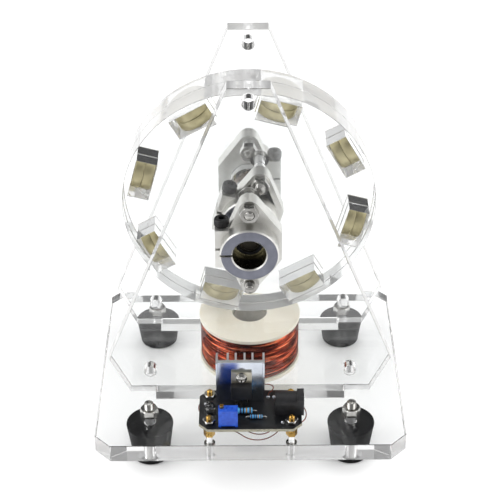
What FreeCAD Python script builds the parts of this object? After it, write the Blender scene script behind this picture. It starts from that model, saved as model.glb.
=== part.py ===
"""Demonstration pulse motor: a clear wheel of magnets turns over one coil.

Frame: +Z up, +X to the right, the circuit board at the front (-Y).
Origin: on the surface that the feet rest on, under the middle of the base plate.
All lengths are millimetres, all angles degrees.
"""

import FreeCAD, Part
import math
import os

VEC = FreeCAD.Vector
X_AXIS = VEC(1, 0, 0)
Y_AXIS = VEC(0, 1, 0)
Z_AXIS = VEC(0, 0, 1)

# Wheel of two clear layers
layer_thickness = 12.0
rotor_radius = 63.0
rim_wall = 3.6
magnet_count = 8
magnet_diameter = 20.0
magnet_thickness = 5.0
magnets_per_pocket = 2
pocket_clearance = 0.2
rest_turn = 15.4

# Rhombic split clamps: two carry bearings, one carries the wheel
clamp_bore = 16.0
clamp_length = 16.0
clamp_flange = 8.0
clamp_boss_radius = 14.0
clamp_half_width = 15.5
clamp_flat_half = 7.5
clamp_bolt_radius = 20.0
clamp_tip_radius = 5.2
clamp_ear_reach = 16.3
clamp_ear_half_height = 10.3
clamp_ear_depth = 10.2
clamp_step = 9.5
clamp_slit = 1.2
clamp_edge = 0.6
clamp_screw_reach = 13.1
clamp_screw_set_back = 4.5

# Deep groove bearing
bearing_bore = 8.0
bearing_width = 5.0
bearing_land_inner = 5.2
bearing_land_outer = 6.8
ball_radius = 1.0
ball_clearance = 0.2
ball_count = 8
seal_thickness = 0.4
seal_inset = 0.2
seal_lip_clearance = 0.25

# Shaft
shaft_shoulder_radius = 4.8
shaft_end_stand = 0.6
shaft_body_inset = 2.0
shaft_edge = 0.5

# Spaces along the shaft
hub_to_upright = 5.0
rotor_to_upright = 8.0

# Coil
air_gap = 4.0
coil_height = 28.0
bobbin_flange = 2.0
bobbin_side_clearance = 0.25
bobbin_tube_radius = 11.0
bobbin_bore_radius = 9.0
core_clearance = 0.3
core_recess = 2.5
core_screw_bite = 10.0
winding_inset = 0.6
wire_radius = 0.4
wire_pitch = 1.27
wire_bend_radius = 1.0
wire_end_run = 0.84
wire_seat_gap = 0.05

# Uprights
upright_thickness = 8.0
upright_rise_above_axis = 80.0
upright_top_width = 20.0
upright_kink_width = 143.0
upright_kink_height = 21.0
upright_foot_width = 123.0
upright_tab_width = 97.0
upright_bore_radius = 9.0
tie_hole_radius = 3.0
tie_hole_spread = 51.0
tie_hole_height = 13.0
crown_hole_drop = 8.0
lead_hole_radius = 3.0
lead_hole_height = 6.0

# Base plate
base_thickness = 10.0
base_side_margin = 6.0
base_corner_cut = 8.0
front_apron = 42.0
rear_apron = 22.0
slot_clearance = 0.1

# Rubber feet
foot_height = 16.0
foot_top_radius = 12.0
foot_bottom_radius = 10.0
foot_edge = 1.0
foot_recess_radius = 6.0
foot_floor = 6.0
foot_spread = 51.0
front_foot_set_back = 24.0
rear_foot_clearance = 5.5
washer_radius = 5.0
washer_thickness = 1.0

# Fasteners: M5, M4 and M3
m5_radius = 2.5
m5_hole_radius = 2.75
m5_nut_flats = 8.0
m5_nut_height = 4.2
m5_button_radius = 4.75
m5_button_height = 2.75
m5_socket_flats = 3.0
m5_socket_depth = 1.6
foot_bolt_stand = 3.4
support_bolt_stand = 0.4
lower_bolt_stand = 3.4
hub_bolt_stand = 2.6
bolt_tip_cut = 0.6
m4_radius = 2.0
m4_hole_radius = 2.25
m4_head_radius = 3.5
m4_head_height = 4.0
m4_socket_flats = 3.0
m4_socket_depth = 2.0
m4_length = 20.0
m3_radius = 1.5
m3_hole_radius = 1.6
m3_nut_flats = 5.5
m3_nut_height = 2.4
m3_head_radius = 2.8
m3_head_height = 2.2
m3_cross_width = 0.7
m3_cross_length = 3.4
m3_cross_depth = 1.2
thread_clearance = 0.05
nut_chamfer = 0.5

# Board on its brass pillars
board_width = 51.0
board_depth = 30.0
board_thickness = 1.6
board_corner_cut = 4.4
board_set_back = 3.3
board_hole_inset = 5.1
pillar_height = 6.0
pillar_flats = 5.0
pillar_thread_stand = 2.0
pillar_bite = 4.0
pin_radius = 0.35
pin_clearance = 0.15
pin_tail = 1.2

# Heat sink
sink_depth = 8.0
sink_height = 25.0
sink_plate = 2.2
sink_fin = 1.0
sink_root_fillet = 0.7
sink_lip = 0.7
sink_left_margin = 8.5
sink_right_margin = 18.3
sink_set_back = 21.0
fin_centre_shares = (0.0, 0.235, 0.405, 0.595, 0.765, 1.0)

# Power transistor
can_width = 10.2
can_height = 9.1
can_front = 3.1
can_draft = 0.5
tab_thickness = 1.3
tab_length = 15.6
tab_hole_drop = 2.9
can_lift = 4.2
leg_pitch = 2.54
leg_width = 0.9
leg_thickness = 0.5
can_offset = 0.6

# Trimmer
trimmer_width = 9.5
trimmer_depth = 4.8
trimmer_height = 10.0
trimmer_left_margin = 9.8
trimmer_set_back = 1.7
trimmer_foot = 1.3
trimmer_foot_height = 0.6
trimmer_screw_radius = 1.1
trimmer_screw_clearance = 0.05
trimmer_screw_inset = 1.6
trimmer_screw_stand = 1.4
trimmer_screw_depth = 3.0
trimmer_screw_end_gap = 0.4
trimmer_slot = 0.5
trimmer_slot_depth = 0.6
trimmer_dimple_radius = 0.8
trimmer_dimple_depth = 0.3
trimmer_dimple_shares = (0.42, 0.72)

# Power socket
jack_length = 14.2
jack_width = 9.0
jack_height = 11.0
jack_face = 3.4
jack_box_height = 6.5
jack_barrel_radius = 4.5
jack_axis_height = 6.3
jack_bore_radius = 3.2
jack_bore_depth = 9.5
jack_pin_radius = 1.0
jack_pin_length = 8.0
jack_corner_cut = 1.4
jack_overhang = 1.1
jack_set_back = 10.2

# Resistors and lamp
large_resistor_length = 9.0
large_resistor_radius = 1.6
large_resistor_place = (22.1, 12.2)
small_resistor_length = 6.2
small_resistor_radius = 1.1
small_resistor_place = (28.4, 8.2)
resistor_waist_share = 0.86
resistor_cap_share = 0.24
resistor_lead_reach = 1.2
resistor_bend_radius = 0.8
resistor_lift = 0.1
lamp_radius = 2.5
lamp_flange_radius = 2.9
lamp_flange_height = 1.0
lamp_barrel_height = 3.2
lamp_place = (5.7, 12.4)
lamp_leg_pitch = 2.54

# Coil leads and their solder joints
lead_radius = 0.28
solder_radius = 1.1
solder_height = 0.9
solder_waist_share = 0.8
solder_waist_height_share = 0.55
solder_tip_share = 0.45
left_solder_places = ((3.3, 19.4),)
right_solder_places = ((16.5, 24.4), (13.5, 24.4), (9.5, 5.2))

# One overrun for all cuts
over = 1.0


# Places worked out from the sizes
upright_gap = hub_to_upright + clamp_length + layer_thickness + layer_thickness + rotor_to_upright
base_depth = front_apron + upright_thickness + upright_gap + upright_thickness + rear_apron
base_width = upright_kink_width + base_side_margin + base_side_margin
base_front = -base_depth / 2
base_bottom = foot_height
base_top = base_bottom + base_thickness
front_upright_out = base_front + front_apron
front_upright_in = front_upright_out + upright_thickness
rear_upright_in = front_upright_in + upright_gap
rear_upright_out = rear_upright_in + upright_thickness
axis_height = coil_height + air_gap + rotor_radius
axis_z = base_top + axis_height
upright_height = axis_height + upright_rise_above_axis
hub_face = front_upright_in + hub_to_upright
wheel_front = hub_face + clamp_length
wheel_joint = wheel_front + layer_thickness
wheel_rear = wheel_joint + layer_thickness
magnet_stack = magnet_thickness * magnets_per_pocket
pocket_width = magnet_diameter + pocket_clearance + pocket_clearance
pocket_height = magnet_stack + pocket_clearance + pocket_clearance
pocket_centre_radius = rotor_radius - rim_wall - pocket_height / 2
coil_y = (front_upright_in + rear_upright_in) / 2
bobbin_radius = upright_gap / 2 - bobbin_side_clearance
board_front = base_front + board_set_back
board_back = board_front + board_depth
board_bottom = base_top + pillar_height
board_top = board_bottom + board_thickness
board_left = -board_width / 2
board_right = board_width / 2
front_foot_y = base_front + front_foot_set_back
rear_foot_y = rear_upright_out + rear_foot_clearance
foot_places = [
    VEC(side * foot_spread, y, 0) for y in (front_foot_y, rear_foot_y) for side in (-1, 1)
]
pillar_places = [
    VEC(side * (board_width / 2 - board_hole_inset), y, 0)
    for y in (board_front + board_hole_inset, board_back - board_hole_inset)
    for side in (-1, 1)
]


def block(x0, x1, y0, y1, z0, z1):
    return Part.makeBox(x1 - x0, y1 - y0, z1 - z0, VEC(x0, y0, z0))


def rod(start, direction, length, radius):
    return Part.makeCylinder(radius, length, start, direction)


def hex_bar(start, direction, flats, length):
    """Six sided bar, one corner up where it lies level."""
    corner = flats / math.sqrt(3)
    points = []
    for k in range(6):
        turn = math.radians(60 * k)
        points.append(VEC(corner * math.cos(turn), corner * math.sin(turn), 0))
    points.append(points[0])
    bar = Part.Face(Part.makePolygon(points)).extrude(VEC(0, 0, length))
    bar.Placement = FreeCAD.Placement(start, FreeCAD.Rotation(Z_AXIS, direction))
    return bar


def turned(profile, start, direction):
    """Solid of revolution from (radius, height) points along a direction."""
    points = [VEC(radius, 0, height) for radius, height in profile]
    points.append(points[0])
    body = Part.Face(Part.makePolygon(points)).revolve(VEC(0, 0, 0), Z_AXIS, 360)
    body.Placement = FreeCAD.Placement(start, FreeCAD.Rotation(Z_AXIS, direction))
    return body


def plate(points, y0, y1):
    """Plate across Y from (x, z) points."""
    corners = [VEC(x, y0, z) for x, z in points]
    corners.append(corners[0])
    return Part.Face(Part.makePolygon(corners)).extrude(VEC(0, y1 - y0, 0))


def nut(start, direction, flats, height, hole_radius):
    """Hex nut, its outer corners turned off."""
    corner = flats / math.sqrt(3)
    bar = hex_bar(start, direction, flats, height)
    skin = turned(
        [(0, 0), (corner, 0), (corner, height - nut_chamfer), (corner - nut_chamfer, height), (0, height)],
        start,
        direction,
    )
    return bar.common(skin).cut(rod(start - direction * over, direction, height + over + over, hole_radius))


def domed_rod(start, direction, length, radius):
    """Round rod whose far end is turned off."""
    profile = [
        (0, 0),
        (radius, 0),
        (radius, length - bolt_tip_cut),
        (radius - bolt_tip_cut, length),
        (0, length),
    ]
    return turned(profile, start, direction)


def button_bolt(seat, direction, length):
    """M5 button head bolt. The head lies behind the seat, the shank runs along the direction."""
    head_base = seat - direction * m5_button_height
    crown = m5_button_radius / 2
    shoulder = m5_button_height / 3
    head = turned(
        [
            (0, 0),
            (crown, 0),
            (m5_button_radius - shoulder, shoulder),
            (m5_button_radius, m5_button_height - shoulder),
            (m5_button_radius, m5_button_height),
            (0, m5_button_height),
        ],
        head_base,
        direction,
    )
    socket = hex_bar(head_base - direction * over, direction, m5_socket_flats, m5_socket_depth + over)
    return head.fuse(domed_rod(seat, direction, length, m5_radius)).cut(socket)


def cap_screw(seat, direction, length):
    """M4 socket cap screw. The head stands behind the seat."""
    top = seat - direction * m4_head_height
    head = turned(
        [
            (0, 0),
            (m4_head_radius - nut_chamfer, 0),
            (m4_head_radius, nut_chamfer),
            (m4_head_radius, m4_head_height),
            (0, m4_head_height),
        ],
        top,
        direction,
    )
    socket = hex_bar(top - direction * over, direction, m4_socket_flats, m4_socket_depth + over)
    return head.fuse(domed_rod(seat, direction, length, m4_radius)).cut(socket)


def pan_screw(seat, direction, length, across):
    """M3 pan head screw with a cross recess."""
    top = seat - direction * m3_head_height
    head = turned(
        [
            (0, 0),
            (m3_head_radius - m3_head_height / 2, 0),
            (m3_head_radius, m3_head_height / 2),
            (m3_head_radius, m3_head_height),
            (0, m3_head_height),
        ],
        top,
        direction,
    )
    screw = head.fuse(rod(seat, direction, length, m3_radius))
    along = direction.cross(across)
    for long_side, short_side in ((across, along), (along, across)):
        corner = top - long_side * (m3_cross_length / 2) - short_side * (m3_cross_width / 2)
        corner = corner - direction * over
        points = [
            corner,
            corner + long_side * m3_cross_length,
            corner + long_side * m3_cross_length + short_side * m3_cross_width,
            corner + short_side * m3_cross_width,
            corner,
        ]
        arm = Part.Face(Part.makePolygon(points)).extrude(direction * (m3_cross_depth + over))
        screw = screw.cut(arm)
    return screw


def tangent_point(x, z, centre_z, radius, side):
    """Where a line from (x, z) touches the round tip about (0, centre_z)."""
    dx = x
    dz = z - centre_z
    distance = math.hypot(dx, dz)
    angle = math.atan2(dz, dx) + side * math.acos(radius / distance)
    return VEC(radius * math.cos(angle), 0, centre_z + radius * math.sin(angle))


def arc_through(a, b, c):
    return Part.Arc(a, b, c).toShape()


def line(a, b):
    return Part.LineSegment(a, b).toShape()


def clamp_outline():
    """Flange outline with its ear, in the plane of the mounting face."""
    right_low = VEC(clamp_half_width, 0, -clamp_flat_half)
    right_high = VEC(clamp_half_width, 0, clamp_flat_half)
    step_high = VEC(-clamp_step, 0, clamp_ear_half_height)
    ear_high = VEC(-clamp_ear_reach, 0, clamp_ear_half_height)
    ear_low = VEC(-clamp_ear_reach, 0, -clamp_ear_half_height)
    step_low = VEC(-clamp_step, 0, -clamp_ear_half_height)
    tip = clamp_bolt_radius
    top_right = tangent_point(right_high.x, right_high.z, tip, clamp_tip_radius, 1)
    top_left = tangent_point(step_high.x, step_high.z, tip, clamp_tip_radius, -1)
    low_left = tangent_point(step_low.x, step_low.z, -tip, clamp_tip_radius, 1)
    low_right = tangent_point(right_low.x, right_low.z, -tip, clamp_tip_radius, -1)
    crown = VEC(0, 0, tip + clamp_tip_radius)
    keel = VEC(0, 0, -tip - clamp_tip_radius)
    return [
        line(right_low, right_high),
        line(right_high, top_right),
        arc_through(top_right, crown, top_left),
        line(top_left, step_high),
        line(step_high, ear_high),
        line(ear_high, ear_low),
        line(ear_low, step_low),
        line(step_low, low_left),
        arc_through(low_left, keel, low_right),
        line(low_right, right_low),
    ]


def split_clamp():
    """Clamp with its mounting face on Y = 0, its boss towards -Y and its ear towards -X."""
    face = Part.Face(Part.Wire(clamp_outline()))
    body = face.extrude(VEC(0, -clamp_flange, 0))
    boss = turned(
        [
            (0, 0),
            (clamp_boss_radius, 0),
            (clamp_boss_radius, clamp_length - clamp_edge),
            (clamp_boss_radius - clamp_edge, clamp_length),
            (0, clamp_length),
        ],
        VEC(0, 0, 0),
        -Y_AXIS,
    )
    ear = block(
        -clamp_ear_reach, -clamp_step, -clamp_ear_depth, 0, -clamp_ear_half_height, clamp_ear_half_height
    )
    body = body.fuse(boss).fuse(ear)
    mouth = turned(
        [
            (0, -over),
            (clamp_bore / 2, -over),
            (clamp_bore / 2, clamp_length - clamp_edge),
            (clamp_bore / 2 + clamp_edge + over, clamp_length + over),
            (0, clamp_length + over),
        ],
        VEC(0, 0, 0),
        -Y_AXIS,
    )
    body = body.cut(mouth)
    slit = block(-clamp_ear_reach - over, 0, -clamp_length - over, over, -clamp_slit / 2, clamp_slit / 2)
    body = body.cut(slit)
    for side in (-1, 1):
        start = VEC(0, over, side * clamp_bolt_radius)
        body = body.cut(rod(start, -Y_AXIS, clamp_flange + over + over, m5_hole_radius))
    screw_top = VEC(-clamp_screw_reach, -clamp_screw_set_back, clamp_ear_half_height + over)
    through = rod(screw_top, -Z_AXIS, clamp_ear_half_height + over, m4_hole_radius)
    tapped = rod(
        screw_top, -Z_AXIS, clamp_ear_half_height * 2 + over + over, m4_radius + thread_clearance
    )
    return body.cut(through).cut(tapped).removeSplitter()


def clamp_screw():
    seat = VEC(-clamp_screw_reach, -clamp_screw_set_back, clamp_ear_half_height)
    return cap_screw(seat, -Z_AXIS, m4_length)


def front_place():
    return FreeCAD.Placement(VEC(0, front_upright_out, axis_z), FreeCAD.Rotation())


def rear_place():
    return FreeCAD.Placement(VEC(0, rear_upright_out, axis_z), FreeCAD.Rotation(Z_AXIS, 180))


def hub_place():
    return FreeCAD.Placement(VEC(0, wheel_front, axis_z), FreeCAD.Rotation(Y_AXIS, rest_turn))


def placed(shape, place):
    moved = shape.copy()
    moved.Placement = place.multiply(moved.Placement)
    return moved


def axis_point(y):
    return VEC(0, y, axis_z)


def spoke(turn_degrees):
    """Direction from the shaft, clockwise from upright as seen from the front."""
    turn = math.radians(turn_degrees)
    return VEC(math.sin(turn), 0, math.cos(turn))


def base_plate():
    half = base_width / 2
    back = base_front + base_depth
    cut = base_corner_cut
    points = [
        VEC(-half + cut, base_front, base_bottom),
        VEC(half - cut, base_front, base_bottom),
        VEC(half, base_front + cut, base_bottom),
        VEC(half, back - cut, base_bottom),
        VEC(half - cut, back, base_bottom),
        VEC(-half + cut, back, base_bottom),
        VEC(-half, back - cut, base_bottom),
        VEC(-half, base_front + cut, base_bottom),
    ]
    points.append(points[0])
    body = Part.Face(Part.makePolygon(points)).extrude(VEC(0, 0, base_thickness))
    low = base_bottom - over
    high = base_top + over
    slot_half = upright_tab_width / 2 + slot_clearance
    for y0 in (front_upright_out, rear_upright_in):
        y1 = y0 + upright_thickness + slot_clearance
        body = body.cut(block(-slot_half, slot_half, y0 - slot_clearance, y1, low, high))
    for place in foot_places:
        body = body.cut(rod(place + Z_AXIS * low, Z_AXIS, high - low, m5_hole_radius))
    for place in pillar_places:
        body = body.cut(rod(place + Z_AXIS * low, Z_AXIS, high - low, m3_hole_radius))
    return body.cut(rod(VEC(0, coil_y, low), Z_AXIS, high - low, m5_hole_radius))


def upright(y0):
    """Clear side plate: tab, shoulders, kink and long tapering sides."""
    y1 = y0 + upright_thickness
    tab = upright_tab_width / 2
    foot = upright_foot_width / 2
    kink = upright_kink_width / 2
    top = upright_top_width / 2
    kink_z = base_top + upright_kink_height
    top_z = base_top + upright_height
    body = plate(
        [
            (-tab, base_bottom),
            (tab, base_bottom),
            (tab, base_top),
            (foot, base_top),
            (kink, kink_z),
            (top, top_z),
            (-top, top_z),
            (-kink, kink_z),
            (-foot, base_top),
            (-tab, base_top),
        ],
        y0,
        y1,
    )
    depth = upright_thickness + over + over
    holes = [
        (0, axis_z, upright_bore_radius),
        (0, axis_z + clamp_bolt_radius, m5_hole_radius),
        (0, axis_z - clamp_bolt_radius, m5_hole_radius),
        (0, top_z - crown_hole_drop, tie_hole_radius),
        (-tie_hole_spread, base_top + tie_hole_height, tie_hole_radius),
        (tie_hole_spread, base_top + tie_hole_height, tie_hole_radius),
        (0, base_top + lead_hole_height, lead_hole_radius),
    ]
    for x, z, radius in holes:
        body = body.cut(rod(VEC(x, y0 - over, z), Y_AXIS, depth, radius))
    return body


def rubber_foot(place):
    """Tapered foot, wide end up, with a recess for the bolt head."""
    body = turned(
        [
            (0, 0),
            (foot_bottom_radius - foot_edge, 0),
            (foot_bottom_radius, foot_edge),
            (foot_top_radius, foot_height),
            (0, foot_height),
        ],
        place,
        Z_AXIS,
    )
    body = body.cut(rod(place - Z_AXIS * over, Z_AXIS, foot_height - foot_floor + over, foot_recess_radius))
    return body.cut(rod(place, Z_AXIS, foot_height + over, m5_hole_radius))


def foot_washer(place):
    z = foot_height - foot_floor - washer_thickness
    disc = rod(place + Z_AXIS * z, Z_AXIS, washer_thickness, washer_radius)
    return disc.cut(rod(place, Z_AXIS, foot_height, m5_hole_radius))


def foot_bolt(place):
    seat_z = foot_height - foot_floor - washer_thickness
    length = base_top + m5_nut_height + foot_bolt_stand - seat_z
    return button_bolt(place + Z_AXIS * seat_z, Z_AXIS, length)


def foot_nut(place):
    return nut(place + Z_AXIS * base_top, Z_AXIS, m5_nut_flats, m5_nut_height, m5_radius + thread_clearance)


def support_fasteners(seat_y, lower_stand):
    """Two bolts from behind one bearing support, with nuts at the front of what they hold."""
    bolts = []
    nuts = []
    grip = upright_thickness + clamp_flange
    for side, stand in ((1, support_bolt_stand), (-1, lower_stand)):
        seat = VEC(0, seat_y, axis_z + side * clamp_bolt_radius)
        bolts.append(button_bolt(seat, -Y_AXIS, grip + m5_nut_height + stand))
        nuts.append(
            nut(seat - Y_AXIS * grip, -Y_AXIS, m5_nut_flats, m5_nut_height, m5_radius + thread_clearance)
        )
    return bolts, nuts


def hub_fasteners():
    """Two bolts from behind the wheel, with nuts on the hub's flange."""
    bolts = []
    nuts = []
    grip = wheel_rear - wheel_front + clamp_flange
    for side in (1, -1):
        seat = axis_point(wheel_rear) + spoke(rest_turn) * (side * clamp_bolt_radius)
        bolts.append(button_bolt(seat, -Y_AXIS, grip + m5_nut_height + hub_bolt_stand))
        nuts.append(
            nut(seat - Y_AXIS * grip, -Y_AXIS, m5_nut_flats, m5_nut_height, m5_radius + thread_clearance)
        )
    return bolts, nuts


def race_groove(y_middle):
    """Ring that the balls run in, a little larger than the balls."""
    pitch = (bearing_land_inner + bearing_land_outer) / 2
    return Part.makeTorus(pitch, ball_radius + ball_clearance, axis_point(y_middle), Y_AXIS)


def bearing_outer_ring(y0):
    ring = rod(axis_point(y0), Y_AXIS, bearing_width, clamp_bore / 2)
    ring = ring.cut(rod(axis_point(y0 - over), Y_AXIS, bearing_width + over + over, bearing_land_outer))
    return ring.cut(race_groove(y0 + bearing_width / 2))


def bearing_inner_ring(y0):
    ring = rod(axis_point(y0), Y_AXIS, bearing_width, bearing_land_inner)
    ring = ring.cut(rod(axis_point(y0 - over), Y_AXIS, bearing_width + over + over, bearing_bore / 2))
    return ring.cut(race_groove(y0 + bearing_width / 2))


def bearing_balls(y0):
    pitch = (bearing_land_inner + bearing_land_outer) / 2
    middle = axis_point(y0 + bearing_width / 2)
    return [
        Part.makeSphere(ball_radius, middle + spoke(360 * k / ball_count) * pitch) for k in range(ball_count)
    ]


def bearing_seals(y0):
    """Thin ring each side, held by the outer ring and just clear of the inner ring."""
    seals = []
    for start in (y0 + seal_inset, y0 + bearing_width - seal_inset - seal_thickness):
        ring = rod(axis_point(start), Y_AXIS, seal_thickness, bearing_land_outer)
        lip = bearing_land_inner + seal_lip_clearance
        seals.append(ring.cut(rod(axis_point(start - over), Y_AXIS, seal_thickness + over + over, lip)))
    return seals


front_bearing_y = front_upright_out - bearing_width
rear_bearing_y = rear_upright_out


def shaft():
    """Stepped shaft: full diameter in the hub, a shoulder at each bearing, then the journals."""
    front_end = front_bearing_y - shaft_end_stand
    rear_end = rear_bearing_y + bearing_width + shaft_end_stand
    body_front = front_upright_in + shaft_body_inset
    body_rear = rear_upright_in - shaft_body_inset
    journal = bearing_bore / 2
    full = clamp_bore / 2
    profile = [
        (0, 0),
        (journal - shaft_edge, 0),
        (journal, shaft_edge),
        (journal, front_upright_out - front_end),
        (shaft_shoulder_radius, front_upright_out - front_end),
        (shaft_shoulder_radius, body_front - front_end),
        (full - shaft_edge, body_front - front_end),
        (full, body_front - front_end + shaft_edge),
        (full, body_rear - front_end - shaft_edge),
        (full - shaft_edge, body_rear - front_end),
        (shaft_shoulder_radius, body_rear - front_end),
        (shaft_shoulder_radius, rear_upright_out - front_end),
        (journal, rear_upright_out - front_end),
        (journal, rear_end - front_end - shaft_edge),
        (journal - shaft_edge, rear_end - front_end),
        (0, rear_end - front_end),
    ]
    return turned(profile, axis_point(front_end), Y_AXIS)


def wheel_layer(y0):
    """Clear disc with a window for each magnet pair and holes for shaft and hub bolts."""
    body = rod(axis_point(y0), Y_AXIS, layer_thickness, rotor_radius)
    depth = layer_thickness + over + over
    body = body.cut(rod(axis_point(y0 - over), Y_AXIS, depth, clamp_bore / 2))
    for side in (1, -1):
        start = axis_point(y0 - over) + spoke(rest_turn) * (side * clamp_bolt_radius)
        body = body.cut(rod(start, Y_AXIS, depth, m5_hole_radius))
    for k in range(magnet_count):
        window = block(
            -pocket_width / 2,
            pocket_width / 2,
            y0 - over,
            y0 - over + depth,
            pocket_centre_radius - pocket_height / 2,
            pocket_centre_radius + pocket_height / 2,
        )
        turn = FreeCAD.Rotation(Y_AXIS, rest_turn + 360 * k / magnet_count)
        body = body.cut(placed(window, FreeCAD.Placement(VEC(0, 0, axis_z), turn)))
    return body


def magnet_pair(k):
    """Two disc magnets stacked along one spoke of the wheel."""
    direction = spoke(rest_turn + 360 * k / magnet_count)
    inner = pocket_centre_radius - magnet_stack / 2
    discs = []
    for n in range(magnets_per_pocket):
        start = axis_point(wheel_joint) + direction * (inner + n * magnet_thickness)
        discs.append(rod(start, direction, magnet_thickness, magnet_diameter / 2))
    return discs


def bobbin():
    profile = [
        (bobbin_bore_radius, 0),
        (bobbin_radius, 0),
        (bobbin_radius, bobbin_flange),
        (bobbin_tube_radius, bobbin_flange),
        (bobbin_tube_radius, coil_height - bobbin_flange),
        (bobbin_radius, coil_height - bobbin_flange),
        (bobbin_radius, coil_height),
        (bobbin_bore_radius, coil_height),
    ]
    return turned(profile, VEC(0, coil_y, base_top), Z_AXIS)


winding_top_radius = bobbin_radius - winding_inset
winding_height = coil_height - bobbin_flange - bobbin_flange
wire_rise = winding_height - wire_bend_radius - wire_end_run - wire_bend_radius - wire_end_run
wire_turns = round(wire_rise / wire_pitch)
wire_turn_rise = wire_rise / wire_turns
wire_path_radius = winding_top_radius - wire_radius
inner_layers_radius = wire_path_radius - wire_radius - wire_seat_gap


def inner_layers():
    """The buried layers of wire, as one plain sleeve."""
    start = VEC(0, coil_y, base_top + bobbin_flange)
    sleeve = rod(start, Z_AXIS, winding_height, inner_layers_radius)
    return sleeve.cut(rod(start - Z_AXIS * over, Z_AXIS, winding_height + over + over, bobbin_tube_radius))


def arc_from(start, tangent, end):
    """Arc that leaves start along the tangent and reaches end."""
    chord = end - start
    normal = chord - tangent * chord.dot(tangent)
    if normal.Length < chord.Length * 1e-9:
        return line(start, end)
    normal.normalize()
    radius = chord.dot(chord) / (2 * chord.dot(normal))
    centre = start + normal * radius
    half = math.atan2(chord.dot(normal), chord.dot(tangent))
    middle = centre - normal * (radius * math.cos(half)) + tangent * (radius * math.sin(half))
    return arc_through(start, middle, end)


def biarc(start, start_tangent, end, end_tangent):
    """Two arcs that join two points with the given tangents."""
    chord = end - start
    both = start_tangent + end_tangent
    spread = 2 * (1 - start_tangent.dot(end_tangent))
    along = chord.dot(both)
    reach = (-along + math.sqrt(along * along + spread * chord.dot(chord))) / spread
    middle = (start + start_tangent * reach + end - end_tangent * reach) * 0.5
    tangent = end - end_tangent * reach - start - start_tangent * reach
    tangent.normalize()
    return [arc_from(start, start_tangent, middle), arc_from(middle, tangent, end)]


def helix_point(turns, low_z):
    turn = 2 * math.pi * turns
    return VEC(
        wire_path_radius * math.sin(turn),
        coil_y + wire_path_radius * math.cos(turn),
        low_z + wire_turn_rise * turns,
    )


def helix_tangent(turns):
    turn = 2 * math.pi * turns
    tangent = VEC(
        2 * math.pi * wire_path_radius * math.cos(turn),
        -2 * math.pi * wire_path_radius * math.sin(turn),
        wire_turn_rise,
    )
    tangent.normalize()
    return tangent


def bend_to(point, tangent, vertical, end_z):
    """Arc from a running wire to the vertical, then a straight end that stops at a height."""
    side = vertical - tangent * vertical.dot(tangent)
    side.normalize()
    centre = point + side * wire_bend_radius
    turn = math.acos(vertical.dot(tangent))
    inward = side * (wire_bend_radius * math.cos(turn / 2))
    along = tangent * (wire_bend_radius * math.sin(turn / 2))
    middle = centre - inward + along
    last = centre - side * (wire_bend_radius * math.cos(turn)) + tangent * (wire_bend_radius * math.sin(turn))
    return middle, last, VEC(last.x, last.y, end_z)


def outer_turns():
    """Outer layer of the coil as one unbroken wire, from flange to flange."""
    low_flange = base_top + bobbin_flange
    high_flange = low_flange + winding_height
    low_z = low_flange + wire_end_run + wire_bend_radius
    low_middle, low_last, low_end = bend_to(helix_point(0, low_z), -helix_tangent(0), -Z_AXIS, low_flange)
    top = helix_point(wire_turns, low_z)
    high_middle, high_last, high_end = bend_to(top, helix_tangent(wire_turns), Z_AXIS, high_flange)
    path = [line(low_end, low_last), arc_through(low_last, low_middle, helix_point(0, low_z))]
    for k in range(wire_turns + wire_turns):
        a = k / 2
        b = (k + 1) / 2
        path += biarc(helix_point(a, low_z), helix_tangent(a), helix_point(b, low_z), helix_tangent(b))
    path += [arc_through(top, high_middle, high_last), line(high_last, high_end)]
    wire = Part.Wire(path)
    profile = Part.Wire(Part.makeCircle(wire_radius, low_end, Z_AXIS))
    tube = wire.makePipeShell([profile], True, False)
    report_wire(wire, tube, low_z)
    return tube


def report_wire(wire, tube, low_z):
    """Print how far the turns stay from each other, measured on points of the path."""
    steps = 24
    points = [helix_point(k / steps, low_z) for k in range(wire_turns * steps + 1)]
    least = min(
        (points[i + steps + d] - points[i]).Length
        for i in range(len(points) - steps - 2)
        for d in (-2, -1, 0, 1, 2)
    )
    share = tube.Volume / (math.pi * wire_radius * wire_radius * wire.Length)
    print("coil wire: %d turns, least gap to itself %.3f" % (wire_turns, least - wire_radius - wire_radius))
    print("coil wire: volume over section times length %.5f" % share)


def coil_core():
    top = coil_height - core_recess
    core = rod(VEC(0, coil_y, base_top), Z_AXIS, top, bobbin_bore_radius - core_clearance)
    bite = core_screw_bite + over
    return core.cut(rod(VEC(0, coil_y, base_top - over), Z_AXIS, bite + over, m5_radius + thread_clearance))


def coil_screw():
    seat = VEC(0, coil_y, base_bottom)
    return button_bolt(seat, Z_AXIS, base_thickness + core_screw_bite)


def board():
    half = board_width / 2
    cut = board_corner_cut
    points = [
        VEC(-half + cut, board_front, board_bottom),
        VEC(half - cut, board_front, board_bottom),
        VEC(half, board_front + cut, board_bottom),
        VEC(half, board_back - cut, board_bottom),
        VEC(half - cut, board_back, board_bottom),
        VEC(-half + cut, board_back, board_bottom),
        VEC(-half, board_back - cut, board_bottom),
        VEC(-half, board_front + cut, board_bottom),
    ]
    points.append(points[0])
    body = Part.Face(Part.makePolygon(points)).extrude(VEC(0, 0, board_thickness))
    low = board_bottom - over
    depth = board_thickness + over + over
    for place in pillar_places:
        body = body.cut(rod(place + Z_AXIS * low, Z_AXIS, depth, m3_hole_radius))
    for place in pin_places():
        body = body.cut(rod(place + Z_AXIS * low, Z_AXIS, depth, pin_radius + pin_clearance))
    for place in leg_places():
        body = body.cut(rod(place + Z_AXIS * low, Z_AXIS, depth, leg_width / 2 + pin_clearance))
    return body


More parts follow.
